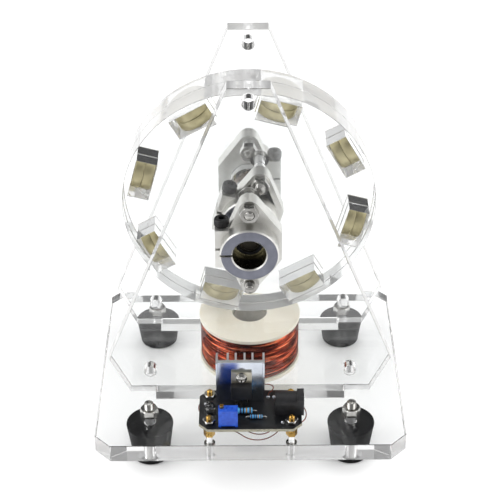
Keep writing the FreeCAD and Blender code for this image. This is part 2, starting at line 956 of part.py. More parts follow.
def pillar(place):
    """Hex brass pillar with a threaded stud through the board."""
    start = place + Z_AXIS * base_top
    body = hex_bar(start, Z_AXIS, pillar_flats, pillar_height)
    stud = board_thickness + m3_nut_height + pillar_thread_stand
    tip = domed_rod(start + Z_AXIS * pillar_height, Z_AXIS, stud, m3_radius)
    bore = rod(start - Z_AXIS * over, Z_AXIS, pillar_bite + over, m3_radius + thread_clearance)
    return body.fuse(tip).cut(bore)


def pillar_nut(place):
    return nut(place + Z_AXIS * board_top, Z_AXIS, m3_nut_flats, m3_nut_height, m3_radius + thread_clearance)


def pillar_screw(place):
    seat = place + Z_AXIS * base_bottom
    return pan_screw(seat, Z_AXIS, base_thickness + pillar_bite - over, X_AXIS)


sink_front = board_front + sink_set_back
sink_plate_back = sink_front + sink_plate
sink_left = board_left + sink_left_margin
sink_right = board_right - sink_right_margin
sink_width = sink_right - sink_left


def heat_sink():
    """Extruded sink: front plate, six fins behind, a small lip down each side."""
    top = board_top + sink_height
    body = block(sink_left, sink_right, sink_front, sink_plate_back, board_top, top)
    first = sink_left + sink_fin / 2
    run = sink_width - sink_fin
    for k, share in enumerate(fin_centre_shares):
        x = first + run * share
        outer = k in (0, len(fin_centre_shares) - 1)
        y0 = sink_front - sink_lip if outer else sink_front
        fin = block(x - sink_fin / 2, x + sink_fin / 2, y0, sink_front + sink_depth, board_top, top)
        body = body.fuse(fin)
    body = body.removeSplitter()
    roots = []
    for edge in body.Edges:
        middle = edge.valueAt((edge.FirstParameter + edge.LastParameter) / 2)
        upright_edge = abs(edge.Vertexes[0].Z - edge.Vertexes[-1].Z) > sink_height / 2
        inside = sink_left + sink_fin / 2 < middle.x < sink_right - sink_fin / 2
        at_plate = abs(middle.y - sink_plate_back) < sink_fin / 10
        if upright_edge and inside and at_plate:
            roots.append(edge)
    body = body.makeFillet(sink_root_fillet, roots)
    hole = VEC(can_middle, sink_front - over, can_screw_z())
    return body.cut(rod(hole, Y_AXIS, sink_plate + over + over, m3_radius + thread_clearance))


can_middle = (sink_left + sink_right) / 2 + can_offset
can_left = can_middle - can_width / 2
tab_front = sink_front - tab_thickness
can_bottom = board_top + can_lift
tab_top = can_bottom + tab_length


def can_screw_z():
    return tab_top - tab_hole_drop


def transistor_tab():
    plate_body = block(can_left, can_left + can_width, tab_front, sink_front, can_bottom, tab_top)
    hole = VEC(can_middle, tab_front - over, can_screw_z())
    return plate_body.cut(rod(hole, Y_AXIS, tab_thickness + over + over, m3_hole_radius))


def transistor_body():
    """Moulded body in front of the tab, its top and bottom drawn in."""
    y0 = tab_front - can_front
    points = [
        (tab_front, can_bottom),
        (tab_front, can_bottom + can_height),
        (y0, can_bottom + can_height - can_draft),
        (y0, can_bottom + can_draft),
    ]
    corners = [VEC(can_left, y, z) for y, z in points]
    corners.append(corners[0])
    return Part.Face(Part.makePolygon(corners)).extrude(VEC(can_width, 0, 0))


def leg_places():
    y = tab_front - can_front / 2
    return [VEC(can_middle + n * leg_pitch, y, 0) for n in (-1, 0, 1)]


def transistor_legs():
    legs = []
    for place in leg_places():
        legs.append(
            block(
                place.x - leg_width / 2,
                place.x + leg_width / 2,
                place.y - leg_thickness / 2,
                place.y + leg_thickness / 2,
                board_bottom - pin_tail,
                can_bottom,
            )
        )
    return legs


def transistor_screw():
    seat = VEC(can_middle, tab_front, can_screw_z())
    return pan_screw(seat, Y_AXIS, tab_thickness + sink_plate + over, X_AXIS)


trimmer_front = board_front + trimmer_set_back
trimmer_left = board_left + trimmer_left_margin
trimmer_right = trimmer_left + trimmer_width
trimmer_back = trimmer_front + trimmer_depth
trimmer_top = board_top + trimmer_height
trimmer_screw_place = VEC(trimmer_left + trimmer_screw_inset, trimmer_back - trimmer_screw_inset, 0)


def trimmer_body():
    body = block(trimmer_left, trimmer_right, trimmer_front, trimmer_back, board_top, trimmer_top)
    arch_top = board_top + trimmer_foot_height
    arch = block(
        trimmer_left + trimmer_foot,
        trimmer_right - trimmer_foot,
        trimmer_front - over,
        trimmer_back + over,
        board_top - over,
        arch_top,
    )
    body = body.cut(arch)
    bore_depth = trimmer_screw_depth + trimmer_screw_end_gap
    start = trimmer_screw_place + Z_AXIS * (trimmer_top + over)
    bore_radius = trimmer_screw_radius + trimmer_screw_clearance
    body = body.cut(rod(start, -Z_AXIS, bore_depth + over, bore_radius))
    for share in trimmer_dimple_shares:
        x = trimmer_left + trimmer_width * share
        centre = VEC(x, (trimmer_front + trimmer_back) / 2, trimmer_top + over)
        body = body.cut(rod(centre, -Z_AXIS, trimmer_dimple_depth + over, trimmer_dimple_radius))
    return body


def trimmer_screw():
    """Slotted brass screw in the corner of the trimmer."""
    start = trimmer_screw_place + Z_AXIS * (trimmer_top - trimmer_screw_depth)
    top = trimmer_top + trimmer_screw_stand
    body = rod(start, Z_AXIS, top - start.z, trimmer_screw_radius)
    reach = trimmer_screw_radius + over
    slot = block(
        trimmer_screw_place.x - reach,
        trimmer_screw_place.x + reach,
        trimmer_screw_place.y - trimmer_slot / 2,
        trimmer_screw_place.y + trimmer_slot / 2,
        top - trimmer_slot_depth,
        top + over,
    )
    return body.cut(slot)


jack_right = board_right + jack_overhang
jack_left = jack_right - jack_length
jack_front = board_front + jack_set_back
jack_middle = jack_front + jack_width / 2


def jack_body():
    """Power socket: square face to the right, round barrel on a box behind it."""
    back = jack_front + jack_width
    low = board_top
    face_left = jack_right - jack_face
    top = low + jack_height
    points = [
        (jack_front, low),
        (back, low),
        (back, top - jack_corner_cut),
        (back - jack_corner_cut, top),
        (jack_front + jack_corner_cut, top),
        (jack_front, top - jack_corner_cut),
    ]
    corners = [VEC(face_left, y, z) for y, z in points]
    corners.append(corners[0])
    face = Part.Face(Part.makePolygon(corners)).extrude(VEC(jack_face, 0, 0))
    box = block(jack_left, face_left, jack_front, back, low, low + jack_box_height)
    axis = VEC(jack_left, jack_middle, low + jack_axis_height)
    barrel = rod(axis, X_AXIS, jack_length - jack_face, jack_barrel_radius)
    body = face.fuse(box).fuse(barrel).removeSplitter()
    bore_start = VEC(jack_right + over, jack_middle, low + jack_axis_height)
    return body.cut(rod(bore_start, -X_AXIS, jack_bore_depth + over, jack_bore_radius))


def jack_pin():
    start = VEC(jack_right - jack_bore_depth, jack_middle, board_top + jack_axis_height)
    return domed_rod(start, X_AXIS, jack_pin_length, jack_pin_radius)


def on_board(place):
    """A place given from the board's left and front edges."""
    return board_left + place[0], board_front + place[1]


resistors = [
    (large_resistor_place, large_resistor_length, large_resistor_radius),
    (small_resistor_place, small_resistor_length, small_resistor_radius),
]


def resistor_body(place, length, radius):
    """Body with a slimmer middle between two round caps."""
    waist = radius * resistor_waist_share
    cap = length * resistor_cap_share
    edge = radius - waist
    profile = [
        (0, 0),
        (waist, 0),
        (radius, edge),
        (radius, cap),
        (waist, cap + edge),
        (waist, length - cap - edge),
        (radius, length - cap),
        (radius, length - edge),
        (waist, length),
        (0, length),
    ]
    x, y = on_board(place)
    start = VEC(x - length / 2, y, board_top + resistor_lift + radius)
    return turned(profile, start, X_AXIS)


def resistor_pin(place, length, side):
    """Where one bent lead goes down through the board."""
    x, y = on_board(place)
    return VEC(x + side * (length / 2 + resistor_lead_reach + resistor_bend_radius), y, 0)


def resistor_leads(place, length, radius):
    """A bent wire from each end down through the board."""
    leads = []
    z = board_top + resistor_lift + radius
    x, y = on_board(place)
    low = board_bottom - pin_tail
    bend = resistor_bend_radius
    for side in (-1, 1):
        start = VEC(x + side * length / 2, y, z)
        pin_x = resistor_pin(place, length, side).x
        corner = VEC(pin_x - side * bend, y, z)
        dip = bend * (1 - math.sqrt(0.5))
        middle = VEC(pin_x - side * dip, y, z - dip)
        turn = VEC(pin_x, y, z - bend)
        down = line(turn, VEC(pin_x, y, low))
        path = Part.Wire([line(start, corner), arc_through(corner, middle, turn), down])
        profile = Part.Wire(Part.makeCircle(pin_radius, start, X_AXIS))
        leads.append(path.makePipeShell([profile], True, False))
    return leads


def pin_places():
    """Every round pin that goes through the board."""
    places = []
    for place, length, radius in resistors:
        for side in (-1, 1):
            places.append(resistor_pin(place, length, side))
    x, y = on_board(lamp_place)
    for side in (-1, 1):
        places.append(VEC(x + side * lamp_leg_pitch / 2, y, 0))
    return places


def lamp_lens():
    """Clear lamp: flange, barrel and round top."""
    x, y = on_board(lamp_place)
    start = VEC(x, y, board_top)
    flange = rod(start, Z_AXIS, lamp_flange_height, lamp_flange_radius)
    barrel = rod(start, Z_AXIS, lamp_flange_height + lamp_barrel_height, lamp_radius)
    dome = Part.makeSphere(lamp_radius, start + Z_AXIS * (lamp_flange_height + lamp_barrel_height))
    return flange.fuse(barrel).fuse(dome)


def lamp_legs():
    x, y = on_board(lamp_place)
    low = board_bottom - pin_tail
    legs = []
    for side in (-1, 1):
        start = VEC(x + side * lamp_leg_pitch / 2, y, low)
        legs.append(rod(start, Z_AXIS, board_top - low, pin_radius))
    return legs


def solder_joint(x, y):
    start = VEC(x, board_front + y, board_top)
    profile = [
        (0, 0),
        (solder_radius, 0),
        (solder_radius * solder_waist_share, solder_height * solder_waist_height_share),
        (solder_radius * solder_tip_share, solder_height),
        (0, solder_height),
    ]
    return turned(profile, start, Z_AXIS)


# Short lead: out of the coil, through the upright and round the heat sink to its solder joint
upper_lead_route = [
    (1.2, -15.7, 31.7),
    (1.6, -20.2, 31.9),
    (2.8, -26.0, 32.8),
    (6.4, -30.6, 35.4),
    (10.4, -33.8, 37.8),
    (12.0, -37.0, 38.6),
    (10.6, -39.4, 37.7),
    (9.0, -38.8, 36.4),
    (9.0, -38.8, 34.5),
]

# Long lead: two loose loops lie between the board and the base plate
lower_lead_route = [
    (-1.2, -15.7, 31.7),
    (-1.4, -20.2, 31.6),
    (1.0, -26.6, 30.6),
    (8.6, -30.2, 28.4),
    (16.4, -32.4, 27.6),
    (24.6, -36.0, 27.8),
    (28.2, -42.4, 28.4),
    (28.0, -49.6, 28.4),
    (24.2, -53.0, 28.0),
    (16.4, -54.2, 27.6),
    (10.6, -61.6, 27.2),
    (4.4, -64.0, 27.0),
    (-1.6, -62.8, 27.2),
    (-6.4, -58.4, 27.6),
    (-14.6, -54.0, 28.0),
    (-22.8, -48.8, 28.2),
    (-26.8, -41.4, 28.2),
    (-24.6, -34.2, 28.4),
    (-16.4, -32.0, 28.8),
    (-7.4, -33.8, 29.4),
    (1.4, -36.4, 30.0),
    (9.0, -41.6, 30.2),
    (13.2, -49.4, 30.2),
    (12.6, -57.0, 30.0),
    (8.0, -61.8, 29.4),
    (2.0, -62.2, 29.4),
    (-3.4, -58.6, 29.8),
    (-7.6, -53.4, 29.6),
    (-9.6, -49.6, 29.2),
    (-10.0, -47.6, 30.0),
    (-10.0, -47.6, 32.0),
]


def lead(points):
    """Wire of straight runs joined by tangent arcs."""
    route = [VEC(*p) for p in points]
    edges = []
    at = route[0]
    radii = []
    for before, here, after in zip(route, route[1:], route[2:]):
        come = here - before
        go = after - here
        shorter = min(come.Length, go.Length)
        come.normalize()
        go.normalize()
        turn = math.acos(max(-1.0, min(1.0, come.dot(go))))
        reach = 0.45 * shorter
        radius = reach / math.tan(turn / 2)
        radii.append(radius)
        first = here - come * reach
        last = here + go * reach
        inward = go - come
        inward.normalize()
        centre_gap = radius / math.cos(turn / 2)
        middle = here + inward * (centre_gap - radius)
        edges.append(line(at, first))
        edges.append(arc_through(first, middle, last))
        at = last
    edges.append(line(at, route[-1]))
    wire = Part.Wire(edges)
    direction = route[1] - route[0]
    profile = Part.Wire(Part.makeCircle(lead_radius, route[0], direction))
    tube = wire.makePipeShell([profile], True, False)
    share = tube.Volume / (math.pi * lead_radius * lead_radius * wire.Length)
    print("lead: length %.1f, least radius %.2f, volume share %.4f" % (wire.Length, min(radii), share))
    return tube


def export(name, solids):
    """Write one node. A group of separate solids goes in as a compound."""
    shapes = solids if isinstance(solids, list) else [solids]
    pieces = []
    for shape in shapes:
        pieces += shape.Solids
    body = pieces[0] if len(pieces) == 1 else Part.makeCompound(pieces)
    body.exportStep(os.path.join("parts", name + ".step"))
    print(name, len(pieces), "valid" if body.isValid() else "NOT VALID", round(body.Volume, 1))


def main():
    os.makedirs("parts", exist_ok=True)
    export("base_plate", base_plate())
    export("front_upright", upright(front_upright_out))
    export("rear_upright", upright(rear_upright_in))
    export("rubber_feet", [rubber_foot(place) for place in foot_places])
    export("foot_washers", [foot_washer(place) for place in foot_places])
    export("foot_bolts", [foot_bolt(place) for place in foot_places])
    export("foot_nuts", [foot_nut(place) for place in foot_places])

    clamp = split_clamp()
    screw = clamp_screw()
    export("front_bearing_support", placed(clamp, front_place()))
    export("rear_bearing_support", placed(clamp, rear_place()))
    export("support_clamp_screws", [placed(screw, front_place()), placed(screw, rear_place())])
    front_bolts, front_nuts = support_fasteners(front_upright_in, lower_bolt_stand)
    rear_bolts, rear_nuts = support_fasteners(rear_upright_out + clamp_flange, support_bolt_stand)
    export("support_bolts", front_bolts + rear_bolts)
    export("support_nuts", front_nuts + rear_nuts)
    for end, y0 in (("front", front_bearing_y), ("rear", rear_bearing_y)):
        export(end + "_bearing_outer_ring", bearing_outer_ring(y0))
        export(end + "_bearing_inner_ring", bearing_inner_ring(y0))
        export(end + "_bearing_balls", bearing_balls(y0))
        export(end + "_bearing_seals", bearing_seals(y0))

    export("rotor_shaft", shaft())
    export("rotor_front_layer", wheel_layer(wheel_front))
    export("rotor_rear_layer", wheel_layer(wheel_joint))
    for k in range(magnet_count):
        export("magnet_pair_%d" % (k + 1), magnet_pair(k))
    export("rotor_hub", placed(clamp, hub_place()))
    export("rotor_hub_clamp_screw", placed(screw, hub_place()))
    hub_bolts, hub_nuts = hub_fasteners()
    export("rotor_hub_bolts", hub_bolts)
    export("rotor_hub_nuts", hub_nuts)

    export("coil_bobbin", bobbin())
    export("coil_core", coil_core())
    export("coil_inner_layers", inner_layers())
    export("coil_outer_turns", outer_turns())
    export("coil_screw", coil_screw())

    export("circuit_board", board())
    export("board_pillars", [pillar(place) for place in pillar_places])
    export("board_nuts", [pillar_nut(place) for place in pillar_places])
    export("board_screws", [pillar_screw(place) for place in pillar_places])
    export("heat_sink", heat_sink())
    export("transistor_tab", transistor_tab())
    export("transistor_body", transistor_body())
    export("transistor_legs", transistor_legs())
    export("transistor_screw", transistor_screw())
    export("trimmer_body", trimmer_body())
    export("trimmer_screw", trimmer_screw())
    export("power_socket", jack_body())
    export("power_socket_pin", jack_pin())
    export("resistor_bodies", [resistor_body(*row) for row in resistors])
    leads = []
    for row in resistors:
        leads += resistor_leads(*row)
    export("resistor_leads", leads)
    export("lamp_lens", lamp_lens())
    export("lamp_legs", lamp_legs())
    joints = [solder_joint(board_left + x, y) for x, y in left_solder_places]
    joints += [solder_joint(board_right - x, y) for x, y in right_solder_places]
    export("solder_joints", joints)
    export("coil_lead_upper", lead(upper_lead_route))
    export("coil_lead_lower", lead(lower_lead_route))


main()
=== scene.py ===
import math

import bmesh
import bpy
from mathutils import Matrix, Vector


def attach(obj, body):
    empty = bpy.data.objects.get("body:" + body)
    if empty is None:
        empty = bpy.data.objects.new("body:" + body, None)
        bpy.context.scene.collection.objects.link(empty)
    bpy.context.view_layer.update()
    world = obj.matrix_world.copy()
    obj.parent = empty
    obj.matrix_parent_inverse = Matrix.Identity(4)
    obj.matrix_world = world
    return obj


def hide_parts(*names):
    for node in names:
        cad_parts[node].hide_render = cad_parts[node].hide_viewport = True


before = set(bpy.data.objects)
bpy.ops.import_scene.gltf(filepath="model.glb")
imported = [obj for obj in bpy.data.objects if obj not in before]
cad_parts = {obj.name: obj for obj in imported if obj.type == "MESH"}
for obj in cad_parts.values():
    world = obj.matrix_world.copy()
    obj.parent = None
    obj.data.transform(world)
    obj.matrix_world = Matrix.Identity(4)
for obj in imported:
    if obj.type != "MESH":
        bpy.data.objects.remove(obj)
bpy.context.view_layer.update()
scene = bpy.context.scene
MM = 0.001

# Places and sizes in millimetres, in the frame of the part
AXIS_Z = 121.0
REST_TURN = 15.4
BASE_LOW = 16.0
BASE_TOP = 26.0
FRONT_PLATE = (-24.5, -16.5)
REAR_PLATE = (36.5, 44.5)
WHEEL = (4.5, 16.5, 28.5)
COIL_Y = 10.0
FOOT_PLACES = [(-51.0, -42.5), (51.0, -42.5), (-51.0, 50.0), (51.0, 50.0)]
PILLAR_PLACES = [(-20.4, -58.1), (20.4, -58.1), (-20.4, -38.3), (20.4, -38.3)]
BOARD_TOP = 33.6
BOARD_LOW = 32.0
SUPPORT_BOLTS_Z = (141.0, 101.0)
HUB_BOLT_REACH = 20.0
M5_HOLE = 2.75
PLATE_HOLES = [
    (0, 141.0, M5_HOLE), (0, 101.0, M5_HOLE), (0, 193.0, 3.0),
    (-51.0, 39.0, 3.0), (51.0, 39.0, 3.0), (0, 32.0, 3.0),
]
PILLAR_HOLE = 1.6
WINDOW_INNER, WINDOW_OUTER, WINDOW_HALF = 49.0, 59.4, 10.2
UP = (0, 0, 1)
FORWARD = (0, -1, 0)

# The camera's place in millimetres, its angles in degrees
CAMERA_PLACE = (-0.7, -596.1, 501.6)
CAMERA_DOWN, CAMERA_PAN, CAMERA_ROLL = 34.16, -0.10, -0.30
CAMERA_LENS = 103.26


# Camera
def place_camera():
    """Viewpoint: 34 degrees down from the front, a long lens, a slight roll."""
    lens = bpy.data.cameras.new("viewpoint")
    lens.sensor_width = 36.0
    lens.lens = CAMERA_LENS
    lens.clip_start = 0.05
    lens.clip_end = 60.0
    viewpoint = bpy.data.objects.new("viewpoint", lens)
    scene.collection.objects.link(viewpoint)
    pan = Matrix.Rotation(math.radians(CAMERA_PAN), 4, "Z")
    tip = Matrix.Rotation(math.radians(90 - CAMERA_DOWN), 4, "X")
    roll = Matrix.Rotation(math.radians(CAMERA_ROLL), 4, "Z")
    viewpoint.matrix_world = Matrix.Translation(Vector(CAMERA_PLACE) * MM) @ pan @ tip @ roll
    scene.camera = viewpoint


# Node helpers
def step(tree, kind, wires=(), **settings):
    """Add a node, set what it is told, and join or fill its sockets."""
    node = tree.nodes.new(kind)
    for key, value in settings.items():
        setattr(node, key, value)
    for key, value in dict(wires).items():
        socket = node.inputs[key]
        if isinstance(value, bpy.types.NodeSocket):
            tree.links.new(value, socket)
        else:
            socket.default_value = value
    return node


def made(tree, kind, wires=(), **settings):
    """The first output of a new node."""
    return step(tree, kind, wires, **settings).outputs[0]


def calc(tree, operation, *terms):
    return made(tree, "ShaderNodeMath", dict(enumerate(terms)), operation=operation)


def vector_calc(tree, operation, a, b):
    node = step(tree, "ShaderNodeVectorMath", {0: a, 1: b}, operation=operation)
    return node.outputs["Value"] if operation in ("LENGTH", "DOT_PRODUCT") else node.outputs[0]


def fade(tree, value, start, end, low, high, kind="SMOOTHSTEP"):
    """A value that runs from low to high while another runs from start to end."""
    wires = {"Value": value, "From Min": start, "From Max": end, "To Min": low, "To Max": high}
    return made(tree, "ShaderNodeMapRange", wires, interpolation_type=kind)


def tone(red, green, blue):
    """A colour as it should look, 0 to 255, as the linear value the shader wants."""
    parts = []
    for value in (red, green, blue):
        share = value / 255.0
        parts.append(share / 12.92 if share <= 0.04045 else ((share + 0.055) / 1.055) ** 2.4)
    return (parts[0], parts[1], parts[2], 1.0)


class Finish:
    """One surface finish: a Principled shader with patterns that follow the object."""

    def __init__(self, name, colour, roughness, **sockets):
        self.material = bpy.data.materials.new(name)
        self.material.use_nodes = True
        self.tree = self.material.node_tree
        self.tree.nodes.clear()
        self.output = step(self.tree, "ShaderNodeOutputMaterial")
        self.shader = step(self.tree, "ShaderNodeBsdfPrincipled", {"Base Color": colour, "Roughness": roughness})
        for key, value in sockets.items():
            self.shader.inputs[key.replace("_", " ")].default_value = value
        self.tree.links.new(self.shader.outputs[0], self.output.inputs["Surface"])
        self.place = step(self.tree, "ShaderNodeTexCoord").outputs["Object"]

    def spread(self, scale, shift=(0, 0, 0)):
        """Object coordinates, moved and stretched."""
        wires = {"Vector": self.place, "Location": shift, "Scale": scale}
        return made(self.tree, "ShaderNodeMapping", wires)

    def grain(self, scale, vector=None, detail=3.0):
        """Soft noise that stays with the object."""
        place = self.place if vector is None else vector
        wires = {"Vector": place, "Scale": scale, "Detail": detail, "Roughness": 0.55}
        return made(self.tree, "ShaderNodeTexNoise", wires)

    def ramp(self, factor, *stops, kind="LINEAR"):
        node = step(self.tree, "ShaderNodeValToRGB", {"Fac": factor})
        node.color_ramp.interpolation = kind
        band = node.color_ramp.elements
        while len(band) < len(stops):
            band.new(1.0)
        for element, (position, colour) in zip(band, stops):
            element.position = position
            element.color = colour if isinstance(colour, tuple) else (colour, colour, colour, 1.0)
        return node.outputs[0]

    def colour(self, socket):
        self.tree.links.new(socket, self.shader.inputs["Base Color"])
        return self

    def tones(self, scale, dark, light, high=0.7, detail=3.0):
        """Patches of two close tones."""
        return self.colour(self.ramp(self.grain(scale, detail=detail), (0.3, dark), (high, light)))

    def rough(self, factor, low, high):
        self.tree.links.new(self.ramp(factor, (0.25, low), (0.75, high)), self.shader.inputs["Roughness"])
        return self

    def bump(self, height, strength, depth):
        wires = {"Height": height, "Strength": strength, "Distance": depth * MM}
        before = self.shader.inputs["Normal"].links
        if before:
            wires["Normal"] = before[0].from_socket
        node = step(self.tree, "ShaderNodeBump", wires)
        self.tree.links.new(node.outputs[0], self.shader.inputs["Normal"])
        return self

    def rings(self, axis, pitch):
        """A ripple round the shaft's axis, Y, or the coil's, Z, as a lathe leaves it."""
        centre, mask = {"Y": ((0, 0, AXIS_Z), (1, 0, 1)), "Z": ((0, COIL_Y, 0), (1, 1, 0))}[axis]
        shift = tuple(-c * MM * m for c, m in zip(centre, mask))
        flat = step(
            self.tree, "ShaderNodeMapping", {"Vector": self.place, "Location": shift, "Scale": mask}
        ).outputs[0]
        radius = vector_calc(self.tree, "LENGTH", flat, (0, 0, 0))
        return calc(self.tree, "SINE", calc(self.tree, "MULTIPLY", radius, 2 * math.pi / (pitch * MM)))

    def lets_lamps_through(self):
        """Lamps reach what stands behind this clear surface."""
        ray = step(self.tree, "ShaderNodeLightPath")
        passing = calc(self.tree, "MAXIMUM", ray.outputs["Is Shadow Ray"], ray.outputs["Is Diffuse Ray"])
        clear = step(self.tree, "ShaderNodeBsdfTransparent", {"Color": (0.993, 0.995, 0.995, 1.0)})
        mix = step(
            self.tree,
            "ShaderNodeMixShader",
            {0: passing, 1: self.shader.outputs[0], 2: clear.outputs[0]},
        )
        self.tree.links.new(mix.outputs[0], self.output.inputs["Surface"])
        return self


# Finishes
def acrylic_face():
    finish = Finish("acrylic_face", (0.975, 0.98, 0.98, 1.0), 0.0, Transmission_Weight=1.0, IOR=1.49)
    finish.bump(finish.grain(14.0, detail=1.0), 0.15, 0.02)
    return finish.lets_lamps_through().material


def acrylic_edge(name, across, clear, rough, shade=0.98):
    """Cut edge: clear to a degree, with the faint lines that the cutter leaves across the sheet."""
    finish = Finish(name, (shade, shade, shade, 1.0), rough, Transmission_Weight=clear, IOR=1.49)
    stretch = tuple(30.0 if k == "XYZ".index(across) else 900.0 for k in range(3))
    lines = finish.grain(1.0, finish.spread(stretch), detail=2.0)
    finish.bump(lines, 0.25, 0.02)
    finish.rough(finish.grain(1.0, finish.spread(tuple(s * 0.4 for s in stretch))), rough * 0.3, rough)
    return finish.lets_lamps_through().material


def broken_edge():
    """The narrow chamfer round a sheet, tinted grey so that it shows as a fine grey line: painted shade."""
    # Painted shade: the dark grey tint stands in for the line that a clear chamfer shows through refraction.
    finish = Finish("broken_edge", (0.32, 0.32, 0.31, 1.0), 0.05, Transmission_Weight=1.0, IOR=1.49)
    finish.bump(finish.grain(600.0, detail=2.0), 0.3, 0.02)
    return finish.lets_lamps_through().material


def black_rubber():
    finish = Finish("black_rubber", tone(10, 10, 12), 0.5, Specular_IOR_Level=0.12)
    finish.tones(220.0, tone(3, 3, 5), tone(14, 14, 17), 0.72, 5.0)
    finish.rough(finish.grain(90.0), 0.42, 0.7)
    return finish.bump(finish.grain(2600.0, detail=2.0), 0.3, 0.06).material


def metal(name, dark, light, rough_low, rough_high, grain_scale=700.0, grain_depth=0.004):
    """Solid metal: two close tones, uneven gloss and a fine surface."""
    finish = Finish(name, light, rough_low, Metallic=1.0)
    finish.tones(160.0, dark, light, detail=4.0)
    finish.rough(finish.grain(300.0, detail=2.0), rough_low, rough_high)
    return finish.bump(finish.grain(grain_scale), 0.3, grain_depth)


def plain_metals():
    """The metals that need no more than two tones, a gloss and a grain."""
    return {
        name: metal(name, tone(*dark), tone(*light), *gloss_and_grain).material
        for name, dark, light, *gloss_and_grain in (
            ("satin_aluminium", (214, 213, 209), (230, 229, 225), 0.34, 0.4, 2400.0, 0.001),
            ("sawn_aluminium", (206, 208, 211), (232, 233, 235), 0.36, 0.46),
            ("plated_steel", (152, 150, 146), (206, 205, 202), 0.1, 0.17, 1500.0, 0.002),
            ("tinned_metal", (168, 168, 166), (212, 212, 210), 0.2, 0.34, 1200.0, 0.006),
            ("tab_plate", (196, 190, 170), (222, 217, 200), 0.34, 0.44),
            ("brass", (176, 132, 60), (222, 184, 108), 0.18, 0.3, 1500.0, 0.004),
            ("solder", (150, 152, 156), (214, 216, 220), 0.14, 0.26, 800.0, 0.01),
        )
    }


def turned_face():
    """The end of a clamp's boss, faced on the lathe; its darker bluish grey is painted reflection of the dim space in
    front.
    """
    # Painted reflection: these bluish grey tones stand in for the dim front that the boss ends mirror.
    finish = metal("turned_face", tone(118, 120, 131), tone(136, 138, 149), 0.3, 0.38, 2400.0, 0.002)
    return finish.bump(finish.rings("Y", 0.45), 0.16, 0.012).material


def black_steel():
    finish = Finish("black_steel", tone(16, 16, 17), 0.34, Specular_IOR_Level=0.45)
    finish.tones(500.0, tone(7, 7, 8), tone(24, 24, 26), 0.75)
    finish.rough(finish.grain(900.0), 0.3, 0.5)
    return finish.bump(finish.grain(3000.0), 0.3, 0.02).material


def ground_metals():
    """The turned and ground surfaces of the shaft, the bearings and the clamps' bores; the shaft's end faces, the
    inner rings and the bores are darkened as painted shade, and the outer rings' gold tint is painted reflection.
    """
    finishes = {}
    for name, dark, light, low, high in (
        ("shaft_steel", (134, 114, 103), (168, 150, 139), 0.2, 0.34),
        # Light steel with a gold tint: the gold is painted reflection of the glints seen on the rings.
        ("race_steel", (192, 182, 140), (222, 214, 176), 0.12, 0.22),
        # Painted shade: the inner rings' steel is coloured dark.
        ("inner_race_steel", (70, 67, 60), (98, 95, 86), 0.16, 0.28),
        # Painted shade: the shaft's end faces are the same steel coloured dark.
        ("shaft_end_steel", (48, 45, 39), (70, 66, 58), 0.3, 0.42),
        # Painted shade: the clamps' bore walls are aluminium coloured dark.
        ("bored_aluminium", (84, 82, 74), (112, 110, 101), 0.22, 0.32),
    ):
        finish = metal(name, tone(*dark), tone(*light), low, high, 2000.0, 0.002)
        finishes[name] = finish.bump(finish.rings("Y", 0.4), 0.15, 0.004).material
    return finishes


def seal_rubber():
    finish = Finish("seal_rubber", tone(30, 30, 33), 0.5)
    finish.tones(600.0, tone(22, 22, 24), tone(44, 44, 47))
    return finish.bump(finish.rings("Y", 0.8), 0.3, 0.04).material


def plated_magnet():
    finish = Finish("plated_magnet", tone(176, 168, 132), 0.36, Metallic=0.75)
    finish.tones(60.0, tone(170, 161, 124), tone(192, 184, 150), detail=2.0)
    finish.rough(finish.grain(260.0), 0.32, 0.42)
    return finish.bump(finish.grain(2200.0, detail=2.0), 0.2, 0.005).material


def cream_plastic():
    finish = Finish("cream_plastic", tone(240, 233, 216), 0.42, Subsurface_Weight=0.12)
    finish.shader.inputs["Subsurface Scale"].default_value = 0.002
    finish.shader.inputs["Subsurface Radius"].default_value = (1.0, 0.7, 0.5)
    finish.tones(70.0, tone(236, 228, 209), tone(244, 239, 225), detail=5.0)
    finish.bump(finish.rings("Z", 0.9), 0.12, 0.02)
    return finish.bump(finish.grain(1800.0), 0.25, 0.02).material


def soft_iron():
    finish = metal("soft_iron", tone(158, 156, 150), tone(186, 184, 178), 0.36, 0.5, 900.0, 0.006)
    return finish.bump(finish.rings("Z", 0.5), 0.3, 0.03).material


def enamelled_copper():
    """Red brown enamel over copper, lighter and darker from turn to turn: partly the enamel's own tones at random,
    partly painted shade in the dark maroon and painted highlight in the bright orange.
    """
    finish = Finish("enamelled_copper", tone(190, 84, 52), 0.2, Metallic=1.0, Coat_Weight=0.3, Coat_Roughness=0.1)
    turns = finish.grain(1.0, finish.spread((60.0, 60.0, 900.0)), detail=2.0)
    # The dark maroon stop is painted shade and the bright orange stop is a painted highlight; the tones between them
    # are the enamel's own colour, varying at random.
    dark, brown, red, painted_highlight_orange = tone(62, 20, 15), tone(118, 42, 28), tone(186, 80, 50), tone(244, 146, 104)
    finish.colour(finish.ramp(turns, (0.36, dark), (0.46, brown), (0.55, red), (0.64, painted_highlight_orange)))
    finish.rough(finish.grain(600.0), 0.14, 0.26)
    return finish.bump(finish.grain(1500.0), 0.2, 0.004).material


def buried_copper():
    finish = Finish("buried_copper", tone(70, 20, 12), 0.5, Metallic=0.6)
    finish.tones(300.0, tone(44, 12, 8), tone(92, 30, 16))
    return finish.bump(finish.rings("Z", 0.6), 0.2, 0.02).material


def lead_enamel():
    """The loose ends: dark red brown enamel."""
    finish = Finish("lead_enamel", tone(120, 44, 34), 0.28, Metallic=0.6, Coat_Weight=0.6, Coat_Roughness=0.1)
    finish.tones(420.0, tone(86, 26, 20), tone(150, 62, 46))
    return finish.bump(finish.grain(900.0), 0.15, 0.02).material


